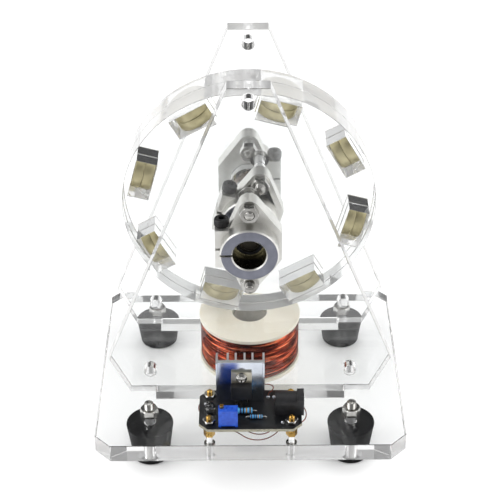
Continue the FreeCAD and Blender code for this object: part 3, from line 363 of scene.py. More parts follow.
def board_mask():
    """Black solder mask with the faint relief of the tracks under it."""
    finish = Finish("board_mask", tone(17, 18, 20), 0.3, Coat_Weight=0.4, Coat_Roughness=0.15)
    wires = {"Vector": finish.place, "Scale": 330.0, "Mortar Size": 0.06, "Mortar Smooth": 0.6}
    weave = step(finish.tree, "ShaderNodeTexBrick", wires).outputs["Fac"]
    finish.tones(260.0, tone(12, 13, 15), tone(27, 28, 31))
    return finish.bump(weave, 0.18, 0.03).material


def board_edge():
    finish = Finish("board_edge", tone(150, 146, 128), 0.7)
    fibres = finish.grain(1.0, finish.spread((700.0, 700.0, 5200.0)), detail=3.0)
    finish.colour(finish.ramp(fibres, (0.3, tone(98, 94, 80)), (0.7, tone(196, 192, 172))))
    return finish.bump(fibres, 0.4, 0.05).material


def moulded(name, dark, light, low, high):
    """Moulded plastic with a fine, even grain."""
    finish = Finish(name, dark, low)
    finish.tones(420.0, dark, light, 0.72, 4.0)
    finish.rough(finish.grain(800.0), low, high)
    return finish.bump(finish.grain(3800.0, detail=2.0), 0.28, 0.03).material


def banded_lacquer(name, middle_x, length, bands):
    """Lacquered resistor with colour bands along X."""
    ground = tone(72, 164, 222)
    finish = Finish(name, ground, 0.28, Coat_Weight=0.5, Coat_Roughness=0.12)
    start = (middle_x - length / 2) * MM
    along = finish.spread((1 / (length * MM),) * 3, shift=(-start / (length * MM), 0, 0))
    share = made(finish.tree, "ShaderNodeSeparateXYZ", {0: along})
    wobble = calc(finish.tree, "MULTIPLY", calc(finish.tree, "SUBTRACT", finish.grain(900.0), 0.5), 0.02)
    stops = [(0.0, ground)]
    for centre, half, colour in bands:
        stops += [(centre - half, colour), (centre + half, ground)]
    finish.colour(finish.ramp(calc(finish.tree, "ADD", share, wobble), *stops, kind="CONSTANT"))
    return finish.bump(finish.grain(700.0), 0.2, 0.04).material


def clear_epoxy():
    finish = Finish("clear_epoxy", (0.95, 0.96, 0.95, 1.0), 0.03, Transmission_Weight=1.0, IOR=1.53)
    finish.bump(finish.grain(500.0), 0.1, 0.02)
    return finish.lets_lamps_through().material


def drawn_aluminium():
    """The heat sink's skin, with the streaks of its drawing die."""
    finish = metal("sink_aluminium", tone(196, 202, 212), tone(216, 222, 231), 0.16, 0.22, 1800.0, 0.002)
    streaks = finish.grain(1.0, finish.spread((2600.0, 2600.0, 60.0)))
    return finish.bump(streaks, 0.25, 0.008).material


# Stage and light
def looked_at(tree, ray):
    """1 for the camera and for what it sees in or through a surface, 0 for soft light."""
    seen = calc(tree, "MAXIMUM", ray["Is Camera Ray"], ray["Is Glossy Ray"])
    return calc(tree, "MAXIMUM", seen, ray["Is Transmission Ray"])


def white_floor():
    """Floor that looks white, takes soft shadows, and mirrors darker in front of the base."""
    reach = 14.0
    mesh = bpy.data.meshes.new("floor")
    mesh.from_pydata(
        [(-reach, -reach, 0), (reach, -reach, 0), (reach, reach, 0), (-reach, reach, 0)], [], [(0, 1, 2, 3)]
    )
    floor = bpy.data.objects.new("floor", mesh)
    scene.collection.objects.link(floor)
    material = bpy.data.materials.new("floor_white")
    material.use_nodes = True
    mesh.materials.append(material)
    tree = material.node_tree
    tree.nodes.clear()
    ray = step(tree, "ShaderNodeLightPath").outputs
    place = step(tree, "ShaderNodeTexCoord").outputs["Object"]
    lift = fade(tree, vector_calc(tree, "LENGTH", place, (0, 0, 0)), 0.25, 1.6, 0.16, 0.9, "LINEAR")
    ahead = step(tree, "ShaderNodeSeparateXYZ", {0: place}).outputs["Y"]
    mirrored = calc(
        tree, "MULTIPLY", ray["Is Glossy Ray"], calc(tree, "SUBTRACT", 1.0, ray["Is Transmission Ray"])
    )
    lost = calc(tree, "MULTIPLY", fade(tree, ahead, -0.12, -0.3, 0.0, 0.45), mirrored)
    kept = calc(tree, "SUBTRACT", 1.0, lost)
    level = calc(tree, "MULTIPLY", calc(tree, "MULTIPLY", looked_at(tree, ray), lift), kept)
    glow = step(tree, "ShaderNodeEmission", {"Strength": level})
    pale = made(tree, "ShaderNodeCombineXYZ", {k: calc(tree, "MULTIPLY", kept, 0.865) for k in range(3)})
    matt = step(tree, "ShaderNodeBsdfDiffuse", {"Color": pale})
    both = step(tree, "ShaderNodeAddShader", {0: glow.outputs[0], 1: matt.outputs[0]})
    step(tree, "ShaderNodeOutputMaterial", {"Surface": both.outputs[0]})


def white_room():
    """White room: low wall, flanks and ceiling bright, a dark band above the wall, a dimmer front."""
    world = bpy.data.worlds.new("studio")
    scene.world = world
    world.cycles.sampling_method = "NONE"
    world.use_nodes = True
    tree = world.node_tree
    tree.nodes.clear()
    ray = step(tree, "ShaderNodeLightPath").outputs
    direction = step(tree, "ShaderNodeTexCoord").outputs["Generated"]
    sides = step(tree, "ShaderNodeSeparateXYZ", {0: direction}).outputs
    height = step(tree, "ShaderNodeValToRGB", {"Fac": sides["Z"]})
    for element, (position, level) in zip(height.color_ramp.elements, ((0.05, 0.42), (0.8, 0.85))):
        element.position = position
        element.color = (level, level, level, 1.0)
    soft = step(tree, "ShaderNodeBackground", {"Color": height.outputs[0], "Strength": 1.22})

    band = calc(tree, "MULTIPLY_ADD", ray["Is Transmission Ray"], -0.18, 0.22)
    low_wall = fade(tree, sides["Z"], 0.27, 0.4, 1.0, band)
    ceiling = fade(tree, sides["Z"], 0.62, 0.8, 0.0, 0.9)
    flanks = fade(tree, calc(tree, "ABSOLUTE", sides["X"]), 0.34, 0.55, 0.0, 0.9)
    walls = calc(tree, "ADD", calc(tree, "ADD", low_wall, ceiling), flanks)
    front = fade(tree, sides["Y"], -0.6, -0.15, 0.4, 1.0)
    walls = calc(tree, "MINIMUM", calc(tree, "MULTIPLY", walls, front), 1.0)
    shown = step(tree, "ShaderNodeBackground", {"Strength": calc(tree, "MAXIMUM", walls, ray["Is Camera Ray"])})
    mix = step(
        tree, "ShaderNodeMixShader", {0: looked_at(tree, ray), 1: soft.outputs[0], 2: shown.outputs[0]}
    )
    step(tree, "ShaderNodeOutputWorld", {"Surface": mix.outputs[0]})


def soft_lamps():
    """A large soft lamp over each shoulder and one overhead."""
    for name, spot, size, watts in (
        ("key_lamp", (-1.2, -0.35, 0.95), 0.9, 6.6),
        ("fill_lamp", (1.25, -0.25, 0.9), 0.9, 5.2),
        ("top_lamp", (0.1, 0.75, 1.75), 1.0, 6.0),
    ):
        lamp = bpy.data.lights.new(name, "AREA")
        lamp.size = size
        lamp.energy = watts
        holder = bpy.data.objects.new(name, lamp)
        scene.collection.objects.link(holder)
        holder.location = spot
        aim = Vector((0, 0, 0.08)) - Vector(spot)
        holder.rotation_euler = aim.to_track_quat("-Z", "Y").to_euler()


def light_paths():
    """Enough bounces for the stacked clear sheets."""
    scene.view_settings.view_transform = "Standard"
    cycles = scene.cycles
    cycles.max_bounces = 32
    cycles.transmission_bounces = 32
    cycles.transparent_max_bounces = 32
    cycles.glossy_bounces = 12
    cycles.diffuse_bounces = 4
    cycles.caustics_refractive = False
    cycles.caustics_reflective = False


# Mesh helpers
def finish_mesh(piece, sharp_degrees=30.0):
    """Smooth faces that break only at real edges, all facing outwards."""
    work = bmesh.new()
    work.from_mesh(piece.data)
    bmesh.ops.recalc_face_normals(work, faces=work.faces)
    limit = math.radians(sharp_degrees)
    for face in work.faces:
        face.smooth = True
    for edge in work.edges:
        edge.smooth = len(edge.link_faces) == 2 and edge.calc_face_angle(0.0) < limit
    work.to_mesh(piece.data)
    work.free()
    return piece


def new_piece(name, mesh, *materials):
    piece = bpy.data.objects.new(name, mesh)
    scene.collection.objects.link(piece)
    if materials:
        mesh.materials.clear()
        for material in materials:
            mesh.materials.append(material)
    return piece


def settled(piece):
    """The piece with its modifiers worked into a plain mesh."""
    graph = bpy.context.evaluated_depsgraph_get()
    graph.update()
    mesh = bpy.data.meshes.new_from_object(piece.evaluated_get(graph), depsgraph=graph)
    name = piece.name
    bpy.data.objects.remove(piece)
    return new_piece(name, mesh)


def joined(name, pieces):
    """Several pieces as one, keeping each one's finish."""
    work = bmesh.new()
    finishes = []
    for piece in pieces:
        mesh = piece.data
        bpy.data.objects.remove(piece)
        places = []
        for finish in mesh.materials:
            if finish not in finishes:
                finishes.append(finish)
            places.append(finishes.index(finish))
        before = len(work.faces)
        work.from_mesh(mesh)
        work.faces.ensure_lookup_table()
        for face in work.faces[before:]:
            face.material_index = places[face.material_index]
        bpy.data.meshes.remove(mesh)
    mesh = bpy.data.meshes.new(name)
    for finish in finishes:
        mesh.materials.append(finish)
    work.to_mesh(mesh)
    work.free()
    return new_piece(name, mesh)


def handed_over(piece, body, slot, *replaced):
    """Say which body a piece rides on and hide the CAD nodes it stands for; the slot argument is not used."""
    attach(piece, body)
    if replaced:
        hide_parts(*replaced)
    return piece


def worked_copy(name, node, material, edge=0.25, segments=2):
    """A merged copy of a CAD solid with its edges broken, as a machinist leaves them."""
    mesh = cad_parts[node].data.copy()
    mesh.name = name
    piece = new_piece(name, mesh, material)
    work = bmesh.new()
    work.from_mesh(mesh)
    bmesh.ops.remove_doubles(work, verts=work.verts, dist=0.000002)
    bmesh.ops.dissolve_limit(
        work, angle_limit=math.radians(0.6), verts=work.verts, edges=work.edges, delimit={"NORMAL"}
    )
    limit = math.radians(30.0)
    for face in work.faces:
        face.smooth = True
        face.material_index = 0
    for line in work.edges:
        line.smooth = len(line.link_faces) == 2 and line.calc_face_angle(0.0) < limit
    work.to_mesh(mesh)
    work.free()
    if edge:
        bevel = piece.modifiers.new("broken_edges", "BEVEL")
        bevel.width = edge * MM
        bevel.segments = segments
        bevel.limit_method = "ANGLE"
        bevel.angle_limit = math.radians(38)
        bevel.harden_normals = True
        bevel.use_clamp_overlap = True
        piece = settled(piece)
    return piece


def copied(name, node, material, body, slot, edge=0.25, segments=2):
    """A worked copy that takes its CAD node's place."""
    handed_over(worked_copy(name, node, material, edge, segments), body, slot, node)


def finished(node, material):
    """Give a CAD node that is shown as it is its finish."""
    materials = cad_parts[node].data.materials
    materials.clear()
    materials.append(material)


def dress(piece, finish, chosen):
    """Give the chosen faces a finish of their own; reach is a face's distance from the axis."""
    piece.data.materials.append(finish)
    slot = len(piece.data.materials) - 1
    for face in piece.data.polygons:
        reach = math.hypot(face.center.x / MM, face.center.z / MM - AXIS_Z)
        if chosen(face, reach):
            face.material_index = slot


def circle(x, y, radius, count=48):
    turns = [2 * math.pi * k / count for k in range(count)]
    return [(x + radius * math.cos(turn), y + radius * math.sin(turn)) for turn in turns]


def cut_corners(half, front, back, cut):
    """Outline of a plate whose four corners are cut off."""
    return [
        (-half + cut, front), (half - cut, front), (half, front + cut), (half, back - cut),
        (half - cut, back), (-half + cut, back), (-half, back - cut), (-half, front + cut),
    ]


def cut_sheet(name, outline, holes, thickness, place, thick_axis, face, side, broken, edge=0.25):
    """Flat sheet cut to an outline with holes, its sharp edges just taken off."""
    curve = bpy.data.curves.new(name, "CURVE")
    curve.dimensions = "2D"
    curve.fill_mode = "BOTH"
    curve.extrude = (thickness / 2 - edge) * MM
    curve.bevel_depth = edge * MM
    curve.bevel_resolution = 0
    curve.offset = -edge * MM
    for loop in [outline] + holes:
        spline = curve.splines.new("POLY")
        spline.points.add(len(loop) - 1)
        for point, (x, y) in zip(spline.points, loop):
            point.co = (x * MM, y * MM, 0.0, 1.0)
        spline.use_cyclic_u = True
    flat = bpy.data.objects.new(name, curve)
    scene.collection.objects.link(flat)
    piece = settled(flat)
    bpy.data.curves.remove(curve)
    mesh = piece.data
    mesh.transform(place)
    work = bmesh.new()
    work.from_mesh(mesh)
    bmesh.ops.remove_doubles(work, verts=work.verts, dist=0.000004)
    work.to_mesh(mesh)
    work.free()
    finish_mesh(piece, 20.0)
    mesh.materials.clear()
    for finish in (face, side, broken):
        mesh.materials.append(finish)
    axis = "XYZ".index(thick_axis)
    for polygon in mesh.polygons:
        tilt = abs(polygon.normal[axis])
        polygon.material_index = 0 if tilt > 0.95 else 1 if tilt < 0.3 else 2
    return piece


def spun(name, profile, place, *materials, count=64, sharp_degrees=30.0):
    """Turned shape from (radius, height) points, poles and seam closed."""
    work = bmesh.new()
    rings = []
    for radius, height in profile:
        if radius == 0:
            rings.append([work.verts.new((0, 0, height * MM))])
        else:
            ring = [work.verts.new((x * MM, y * MM, height * MM)) for x, y in circle(0, 0, radius, count)]
            rings.append(ring)
    for low, high in zip(rings, rings[1:]):
        for k in range(count):
            n = (k + 1) % count
            if len(low) == 1 and len(high) == 1:
                continue
            if len(low) == 1:
                work.faces.new((low[0], high[n], high[k]))
            elif len(high) == 1:
                work.faces.new((low[k], low[n], high[0]))
            else:
                work.faces.new((low[k], low[n], high[n], high[k]))
    mesh = bpy.data.meshes.new(name)
    work.to_mesh(mesh)
    work.free()
    mesh.transform(place)
    return finish_mesh(new_piece(name, mesh, *materials), sharp_degrees)


def facing(start, direction):
    """Place whose Z runs along a direction from a point in millimetres."""
    turn = Vector(direction).normalized().to_track_quat("Z", "Y").to_matrix().to_4x4()
    return Matrix.Translation(Vector(start) * MM) @ turn


def spoke(degrees):
    turn = math.radians(degrees)
    return Vector((math.sin(turn), 0.0, math.cos(turn)))


# Geometry node trees
def new_tree(name, inputs):
    """A node tree with named inputs for its sizes."""
    tree = bpy.data.node_groups.new(name, "GeometryNodeTree")
    tree.interface.new_socket("Geometry", in_out="OUTPUT", socket_type="NodeSocketGeometry")
    tree.interface.new_socket("Geometry", in_out="INPUT", socket_type="NodeSocketGeometry")
    for label, kind in inputs:
        tree.interface.new_socket(label, in_out="INPUT", socket_type="NodeSocket" + kind)
    given = step(tree, "NodeGroupInput").outputs
    return tree, given


def close_tree(tree, geometry, material):
    """Every tree ends in real mesh with its finish."""
    real = made(tree, "GeometryNodeRealizeInstances", {"Geometry": geometry})
    smooth = made(tree, "GeometryNodeSetShadeSmooth", {"Geometry": real})
    dressed = made(tree, "GeometryNodeSetMaterial", {"Geometry": smooth, "Material": material})
    step(tree, "NodeGroupOutput", {0: dressed})


def along_arrows(tree, given, shape):
    """One copy of a shape at each given point, along the direction stored there."""
    along = made(tree, "GeometryNodeInputNamedAttribute", {"Name": "along"}, data_type="FLOAT_VECTOR")
    turned = made(tree, "FunctionNodeAlignRotationToVector", {"Vector": along}, axis="Z")
    wires = {"Points": given["Geometry"], "Instance": shape, "Rotation": turned}
    copies = made(tree, "GeometryNodeInstanceOnPoints", wires)
    close_tree(tree, copies, given["Material"])
    return tree


def grown(name, tree, values, mesh=None):
    """Run a node tree with its inputs set, and keep the result as a plain mesh."""
    piece = new_piece(name, mesh or bpy.data.meshes.new(name))
    modifier = piece.modifiers.new(tree.name, "NODES")
    modifier.node_group = tree
    for item in tree.interface.items_tree:
        if item.in_out == "INPUT" and item.name in values:
            modifier[item.identifier] = values[item.name]
    return settled(piece)


def thread_tree():
    """Threaded shanks, one at each point of the input, along the direction stored there."""
    tree, given = new_tree(
        "threaded_shank",
        [("Radius", "Float"), ("Pitch", "Float"), ("Depth", "Float"), ("Length", "Float"),
         ("Around", "Int"), ("Rows", "Int"), ("Material", "Material")],
    )
    sheet = made(
        tree, "GeometryNodeMeshGrid",
        {"Size X": 1.0, "Size Y": 1.0, "Vertices X": given["Around"], "Vertices Y": given["Rows"]},
    )
    here = step(tree, "ShaderNodeSeparateXYZ", {0: made(tree, "GeometryNodeInputPosition")}).outputs
    span = calc(tree, "MULTIPLY_ADD", given["Pitch"], 2.0, given["Length"])
    run = calc(tree, "SUBTRACT", calc(tree, "MULTIPLY", calc(tree, "ADD", here[1], 0.5), span), given["Pitch"])
    raw = calc(tree, "SUBTRACT", run, calc(tree, "MULTIPLY", here[0], given["Pitch"]))
    height = calc(tree, "MINIMUM", calc(tree, "MAXIMUM", raw, 0.0), given["Length"])
    phase = calc(tree, "FRACT", calc(tree, "ADD", calc(tree, "DIVIDE", run, given["Pitch"]), 8.0))
    groove = calc(tree, "ABSOLUTE", calc(tree, "MULTIPLY_ADD", phase, 2.0, -1.0))
    wide = calc(tree, "SUBTRACT", given["Radius"], calc(tree, "MULTIPLY", groove, given["Depth"]))
    left = calc(tree, "SUBTRACT", given["Length"], height)
    point = calc(tree, "ADD", calc(tree, "SUBTRACT", given["Radius"], given["Depth"]), left)
    wide = calc(tree, "MINIMUM", wide, point)
    end = calc(tree, "GREATER_THAN", calc(tree, "ABSOLUTE", here[1]), 0.4999)
    wide = calc(tree, "MULTIPLY", wide, calc(tree, "SUBTRACT", 1.0, end))
    turn = calc(tree, "MULTIPLY", here[0], 2 * math.pi)
    place = made(
        tree, "ShaderNodeCombineXYZ",
        {0: calc(tree, "MULTIPLY", wide, calc(tree, "COSINE", turn)),
         1: calc(tree, "MULTIPLY", wide, calc(tree, "SINE", turn)), 2: height},
    )
    shank = made(tree, "GeometryNodeSetPosition", {"Geometry": sheet, "Position": place})
    shank = made(tree, "GeometryNodeMergeByDistance", {"Geometry": shank, "Distance": 0.000004})
    return along_arrows(tree, given, shank)


def knurl_tree():
    """Fine upright ribs round a screw's head."""
    tree, given = new_tree(
        "knurled_head",
        [("Radius", "Float"), ("Height", "Float"), ("Rib", "Float"), ("Count", "Int"), ("Material", "Material")],
    )
    ring = made(
        tree, "GeometryNodeMeshCircle", {"Vertices": given["Count"], "Radius": given["Radius"]}, fill_type="NONE"
    )
    rib = made(
        tree, "GeometryNodeMeshCylinder",
        {"Vertices": 6, "Radius": given["Rib"], "Depth": given["Height"]}, fill_type="TRIANGLE_FAN",
    )
    ribs = made(tree, "GeometryNodeInstanceOnPoints", {"Points": ring, "Instance": rib})
    return along_arrows(tree, given, ribs)


def magnet_tree():
    """Disc magnets stacked along the spokes of the wheel."""
    tree, given = new_tree(
        "magnet_ring",
        [("Disc", "Object"), ("Count", "Int"), ("Stack", "Int"), ("Inner", "Float"), ("Step", "Float"),
         ("Turn", "Float"), ("Centre", "Vector"), ("Material", "Material")],
    )
    total = calc(tree, "MULTIPLY", given["Count"], given["Stack"])
    index = made(tree, "GeometryNodeInputIndex")
    arm = calc(tree, "FLOOR", calc(tree, "DIVIDE", calc(tree, "ADD", index, 0.5), given["Stack"]))
    layer = calc(tree, "SUBTRACT", index, calc(tree, "MULTIPLY", arm, given["Stack"]))
    share = calc(tree, "DIVIDE", calc(tree, "MULTIPLY", arm, 2 * math.pi), given["Count"])
    angle = calc(tree, "ADD", given["Turn"], share)
    direction = made(
        tree, "ShaderNodeCombineXYZ", {0: calc(tree, "SINE", angle), 1: 0.0, 2: calc(tree, "COSINE", angle)}
    )
    reach = calc(tree, "ADD", given["Inner"], calc(tree, "MULTIPLY", layer, given["Step"]))
    out = made(tree, "ShaderNodeVectorMath", {0: direction, "Scale": reach}, operation="SCALE")
    place = vector_calc(tree, "ADD", out, given["Centre"])
    points = made(tree, "GeometryNodePoints", {"Count": total, "Position": place})
    turned = made(tree, "FunctionNodeAlignRotationToVector", {"Vector": direction}, axis="Z")
    disc = step(tree, "GeometryNodeObjectInfo", {"Object": given["Disc"]}).outputs["Geometry"]
    copies = made(
        tree, "GeometryNodeInstanceOnPoints", {"Points": points, "Instance": disc, "Rotation": turned}
    )
    close_tree(tree, copies, given["Material"])
    return tree


def winding_tree():
    """One even layer of wire under stray turns that cross it, as a hand winder leaves them."""
    tree, given = new_tree(
        "wound_wire",
        [("Path Radius", "Float"), ("Wire Radius", "Float"), ("Turns", "Float"), ("Height", "Float"),
         ("Segments", "Int"), ("Wander", "Float"), ("Stray Groups", "Int"), ("Stray Turns", "Float"),
         ("Stray Rise", "Float"), ("Seed", "Int"), ("Centre", "Vector"), ("Material", "Material")],
    )
    even = made(
        tree, "GeometryNodeCurveSpiral",
        {"Resolution": given["Segments"], "Rotations": given["Turns"], "Start Radius": given["Path Radius"],
         "End Radius": given["Path Radius"], "Height": given["Height"]},
    )
    outer = calc(tree, "MULTIPLY_ADD", given["Wire Radius"], 1.1, given["Path Radius"])
    stray = made(
        tree, "GeometryNodeCurveSpiral",
        {"Resolution": given["Segments"], "Rotations": given["Stray Turns"], "Start Radius": outer,
         "End Radius": outer, "Height": given["Stray Rise"]},
    )
    index = made(tree, "GeometryNodeInputIndex")
    share = calc(tree, "DIVIDE", index, given["Stray Groups"])
    room = calc(tree, "SUBTRACT", given["Height"], calc(tree, "MULTIPLY", given["Stray Rise"], 1.5))
    jitter = step(
        tree, "FunctionNodeRandomValue",
        {"Min": 0.0, "Max": 0.0004, "ID": index, "Seed": given["Seed"]}, data_type="FLOAT",
    ).outputs[1]
    level = calc(tree, "ADD", calc(tree, "MULTIPLY", share, room), jitter)
    spots = made(
        tree, "GeometryNodePoints",
        {"Count": given["Stray Groups"], "Position": made(tree, "ShaderNodeCombineXYZ", {2: level})},
    )
    spin = made(
        tree, "FunctionNodeRandomValue",
        {0: (-0.009, -0.009, 0.0), 1: (0.009, 0.009, 6.28), "ID": index, "Seed": given["Seed"]},
        data_type="FLOAT_VECTOR",
    )
    strays = made(
        tree, "GeometryNodeInstanceOnPoints", {"Points": spots, "Instance": stray, "Rotation": spin}
    )
    strays = made(tree, "GeometryNodeRealizeInstances", {"Geometry": strays})
    wires = step(tree, "GeometryNodeJoinGeometry")
    tree.links.new(strays, wires.inputs[0])
    tree.links.new(even, wires.inputs[0])
    where = made(tree, "GeometryNodeInputPosition")
    drift = made(tree, "ShaderNodeTexNoise", {"Vector": where, "Scale": 320.0, "Detail": 2.0})
    drift = calc(tree, "MULTIPLY", calc(tree, "SUBTRACT", drift, 0.5), given["Wander"])
    shift = made(tree, "ShaderNodeCombineXYZ", {2: drift})
    shift = vector_calc(tree, "ADD", shift, given["Centre"])
    loose = made(tree, "GeometryNodeSetPosition", {"Geometry": wires.outputs[0], "Offset": shift})
    section = made(
        tree, "GeometryNodeCurvePrimitiveCircle", {"Resolution": 6, "Radius": given["Wire Radius"]}
    )
    tube = made(
        tree, "GeometryNodeCurveToMesh", {"Curve": loose, "Profile Curve": section, "Fill Caps": True}
    )
    close_tree(tree, tube, given["Material"])
    return tree


def arrows(name, rows):
    """Loose points, each with the direction that grows from it."""
    mesh = bpy.data.meshes.new(name)
    mesh.from_pydata([Vector(start) * MM for start, along in rows], [], [])
    store = mesh.attributes.new("along", "FLOAT_VECTOR", "POINT")
    for entry, (start, along) in zip(store.data, rows):
        entry.vector = along
    return mesh


# Cords
LEAD_THICK = 0.00056
UPPER_LEAD = [
    (1.2, -15.7, 31.7), (1.6, -20.2, 31.9), (2.8, -26.0, 32.8), (6.4, -30.6, 35.4), (10.4, -33.8, 37.8),
    (12.0, -37.0, 38.6), (10.6, -39.4, 37.7), (9.0, -38.8, 36.4), (9.0, -38.8, 34.5),
]
LOWER_LEAD = [
    (-1.2, -15.7, 31.7), (-1.4, -20.2, 31.6), (1.0, -26.6, 30.6), (8.6, -30.2, 28.4), (16.4, -32.4, 27.6),
    (24.6, -36.0, 27.8), (28.2, -42.4, 28.4), (28.0, -49.6, 28.4), (24.2, -53.0, 28.0), (16.4, -54.2, 27.6),
    (10.6, -61.6, 27.2), (4.4, -64.0, 27.0), (-1.6, -62.8, 27.2), (-6.4, -58.4, 27.6), (-14.6, -54.0, 28.0),
    (-22.8, -48.8, 28.2), (-26.8, -41.4, 28.2), (-24.6, -34.2, 28.4), (-16.4, -32.0, 28.8),
    (-7.4, -33.8, 29.4), (1.4, -36.4, 30.0), (9.0, -41.6, 30.2), (13.2, -49.4, 30.2), (12.6, -57.0, 30.0),
    (8.0, -61.8, 29.4), (2.0, -62.2, 29.4), (-3.4, -58.6, 29.8), (-7.6, -53.4, 29.6), (-9.6, -49.6, 29.2),
    (-10.0, -47.6, 30.0), (-10.0, -47.6, 32.0),
]


def coil_lead(name, route, node, material):
    """Enamelled wire from the coil to its solder joint, on one smooth line."""
    curve = bpy.data.curves.new(name, "CURVE")
    curve.dimensions = "3D"
    spline = curve.splines.new("NURBS")
    spline.points.add(len(route) - 1)
    for point, place in zip(spline.points, route):
        point.co = (*(Vector(place) * MM), 1.0)
    spline.order_u = 3
    spline.use_endpoint_u = True
    spline.resolution_u = 10
    curve.bevel_depth = LEAD_THICK / 2
    curve.bevel_resolution = 3
    curve.use_fill_caps = True
    curve.materials.append(material)
    lead = bpy.data.objects.new(name, curve)
    scene.collection.objects.link(lead)
    handed_over(lead, "stand", "enamelled_copper", node)


# Clear sheets
def along_wheel(face):
    """How far a face of the wheel looks along the rim, from 0 to 1."""
    out = Vector((face.center.x, 0.0, face.center.z - AXIS_Z * MM))
    out.rotate(Matrix.Rotation(math.radians(90), 3, "Y"))
    return abs(out.normalized().dot(face.normal))


def in_slot(spot):
    """True for a place on the wall of one of the base's two long slots."""
    return abs(spot.x) < 49.0 and any(low - 0.5 < spot.y < high + 0.5 for low, high in (FRONT_PLATE, REAR_PLATE))


def drilled(spot):
    """True for a place on the wall of a hole through a side plate."""
    return any(math.hypot(spot.x - x, spot.z - z) < radius + 0.4 for x, z, radius in PLATE_HOLES)


def rectangle(x0, x1, y0, y1):
    return [(x0, y0), (x1, y0), (x1, y1), (x0, y1)]


def clear_sheets(face, base_edge, sawn_edge, window_edge, broken_edge):
    """Base plate, two side plates and the two layers of the wheel."""
    holes = [rectangle(-48.6, 48.6, low - 0.1, high + 0.1) for low, high in (FRONT_PLATE, REAR_PLATE)]
    holes += [circle(x, y, M5_HOLE) for x, y in FOOT_PLACES]
    holes += [circle(x, y, PILLAR_HOLE) for x, y in PILLAR_PLACES]
    holes.append(circle(0, COIL_Y, M5_HOLE))
    outline = cut_corners(77.5, -66.5, 66.5, 8.0)
    lift = Matrix.Translation(Vector((0, 0, (BASE_LOW + BASE_TOP) / 2)) * MM)
    piece = cut_sheet("clear_base", outline, holes, BASE_TOP - BASE_LOW, lift, "Z", face, base_edge, broken_edge)
    dress(piece, sawn_edge, lambda cut, reach: in_slot(cut.center / MM) and abs(cut.normal.z) < 0.9)
    handed_over(piece, "stand", "clear_acrylic", "base_plate")

    tab, foot, kink, top = 48.5, 61.5, 71.5, 10.0
    outline = [
        (-tab, BASE_LOW), (tab, BASE_LOW), (tab, BASE_TOP), (foot, BASE_TOP), (kink, 47.0), (top, 201.0),
        (-top, 201.0), (-kink, 47.0), (-foot, BASE_TOP), (-tab, BASE_TOP),
    ]
    holes = [circle(0, AXIS_Z, 9.0, 64)] + [circle(x, z, radius) for x, z, radius in PLATE_HOLES]
    stand_up = Matrix.Rotation(math.radians(90), 4, "X")
    for name, node, (low, high) in (
        ("clear_front_plate", "front_upright", FRONT_PLATE),
        ("clear_rear_plate", "rear_upright", REAR_PLATE),
    ):
        spot = Matrix.Translation(Vector((0, (low + high) / 2, 0)) * MM)
        piece = cut_sheet(name, outline, holes, 8.0, spot @ stand_up, "Y", face, sawn_edge, broken_edge)
        dress(piece, window_edge, lambda cut, reach: abs(cut.normal.y) < 0.3 and drilled(cut.center / MM))
        handed_over(piece, "stand", "clear_acrylic", node)

    windows = []
    for k in range(8):
        out = spoke(REST_TURN + 45 * k)
        across = Vector((out.z, 0.0, -out.x))
        corners = [
            out * reach + across * (WINDOW_HALF * side)
            for reach, side in ((WINDOW_INNER, -1), (WINDOW_INNER, 1), (WINDOW_OUTER, 1), (WINDOW_OUTER, -1))
        ]
        windows.append([(corner.x, corner.z) for corner in corners])
    bolts = [spoke(REST_TURN) * HUB_BOLT_REACH, spoke(REST_TURN) * -HUB_BOLT_REACH]
    holes = windows + [circle(bolt.x, bolt.z, M5_HOLE) for bolt in bolts] + [circle(0, 0, 8.03, 96)]
    for name, node, low, high in (
        ("clear_wheel_front", "rotor_front_layer", WHEEL[0], WHEEL[1] - 0.02),
        ("clear_wheel_rear", "rotor_rear_layer", WHEEL[1] + 0.02, WHEEL[2]),
    ):
        spot = Matrix.Translation(Vector((0, (low + high) / 2, AXIS_Z)) * MM)
        rim = circle(0, 0, 63.0, 256)
        piece = cut_sheet(name, rim, holes, high - low, spot @ stand_up, "Y", face, sawn_edge, broken_edge)
        dress(piece, window_edge, lambda cut, reach: 48.0 < reach < 60.5 and along_wheel(cut) > 0.9)
        handed_over(piece, "rotor", "clear_acrylic", node)


# Fasteners
def bolt_head(name, seat, along, material):
    """Low round head with its socket, turned and broached."""
    turns = [math.radians(90 * k / 6) for k in range(1, 7)]
    dome = [(2.0 + 2.75 * math.sin(turn), -0.4 - 2.35 * math.cos(turn)) for turn in turns]
    profile = [(0, -1.2), (1.55, -1.2), (1.75, -2.6), (2.0, -2.75)] + dome + [(4.75, 0.0), (0, 0.0)]
    return spun(name, profile, facing(seat, along), material, count=48)


def threaded(name, tree, seat, along, length, material):
    """M5 shank: outside radius 2.48, pitch 0.8."""
    radius, pitch = 2.48, 0.8
    values = {
        "Radius": radius * MM, "Pitch": pitch * MM, "Depth": 0.58 * pitch * MM, "Length": length * MM,
        "Around": 25, "Rows": int((length + 2 * pitch) / pitch * 4) + 1, "Material": material,
    }
    shank = grown(name, tree, values, arrows(name + "_rows", [(seat, along)]))
    return finish_mesh(shank, 50.0)


def bolts(name, tree, seats, material):
    """Button head bolts: (seat, direction, length) each."""
    pieces = []
    for k, (seat, along, length) in enumerate(seats):
        pieces.append(bolt_head("%s_head_%d" % (name, k), seat, along, material))
        pieces.append(threaded("%s_shank_%d" % (name, k), tree, seat, along, length, material))
    return joined(name, pieces)


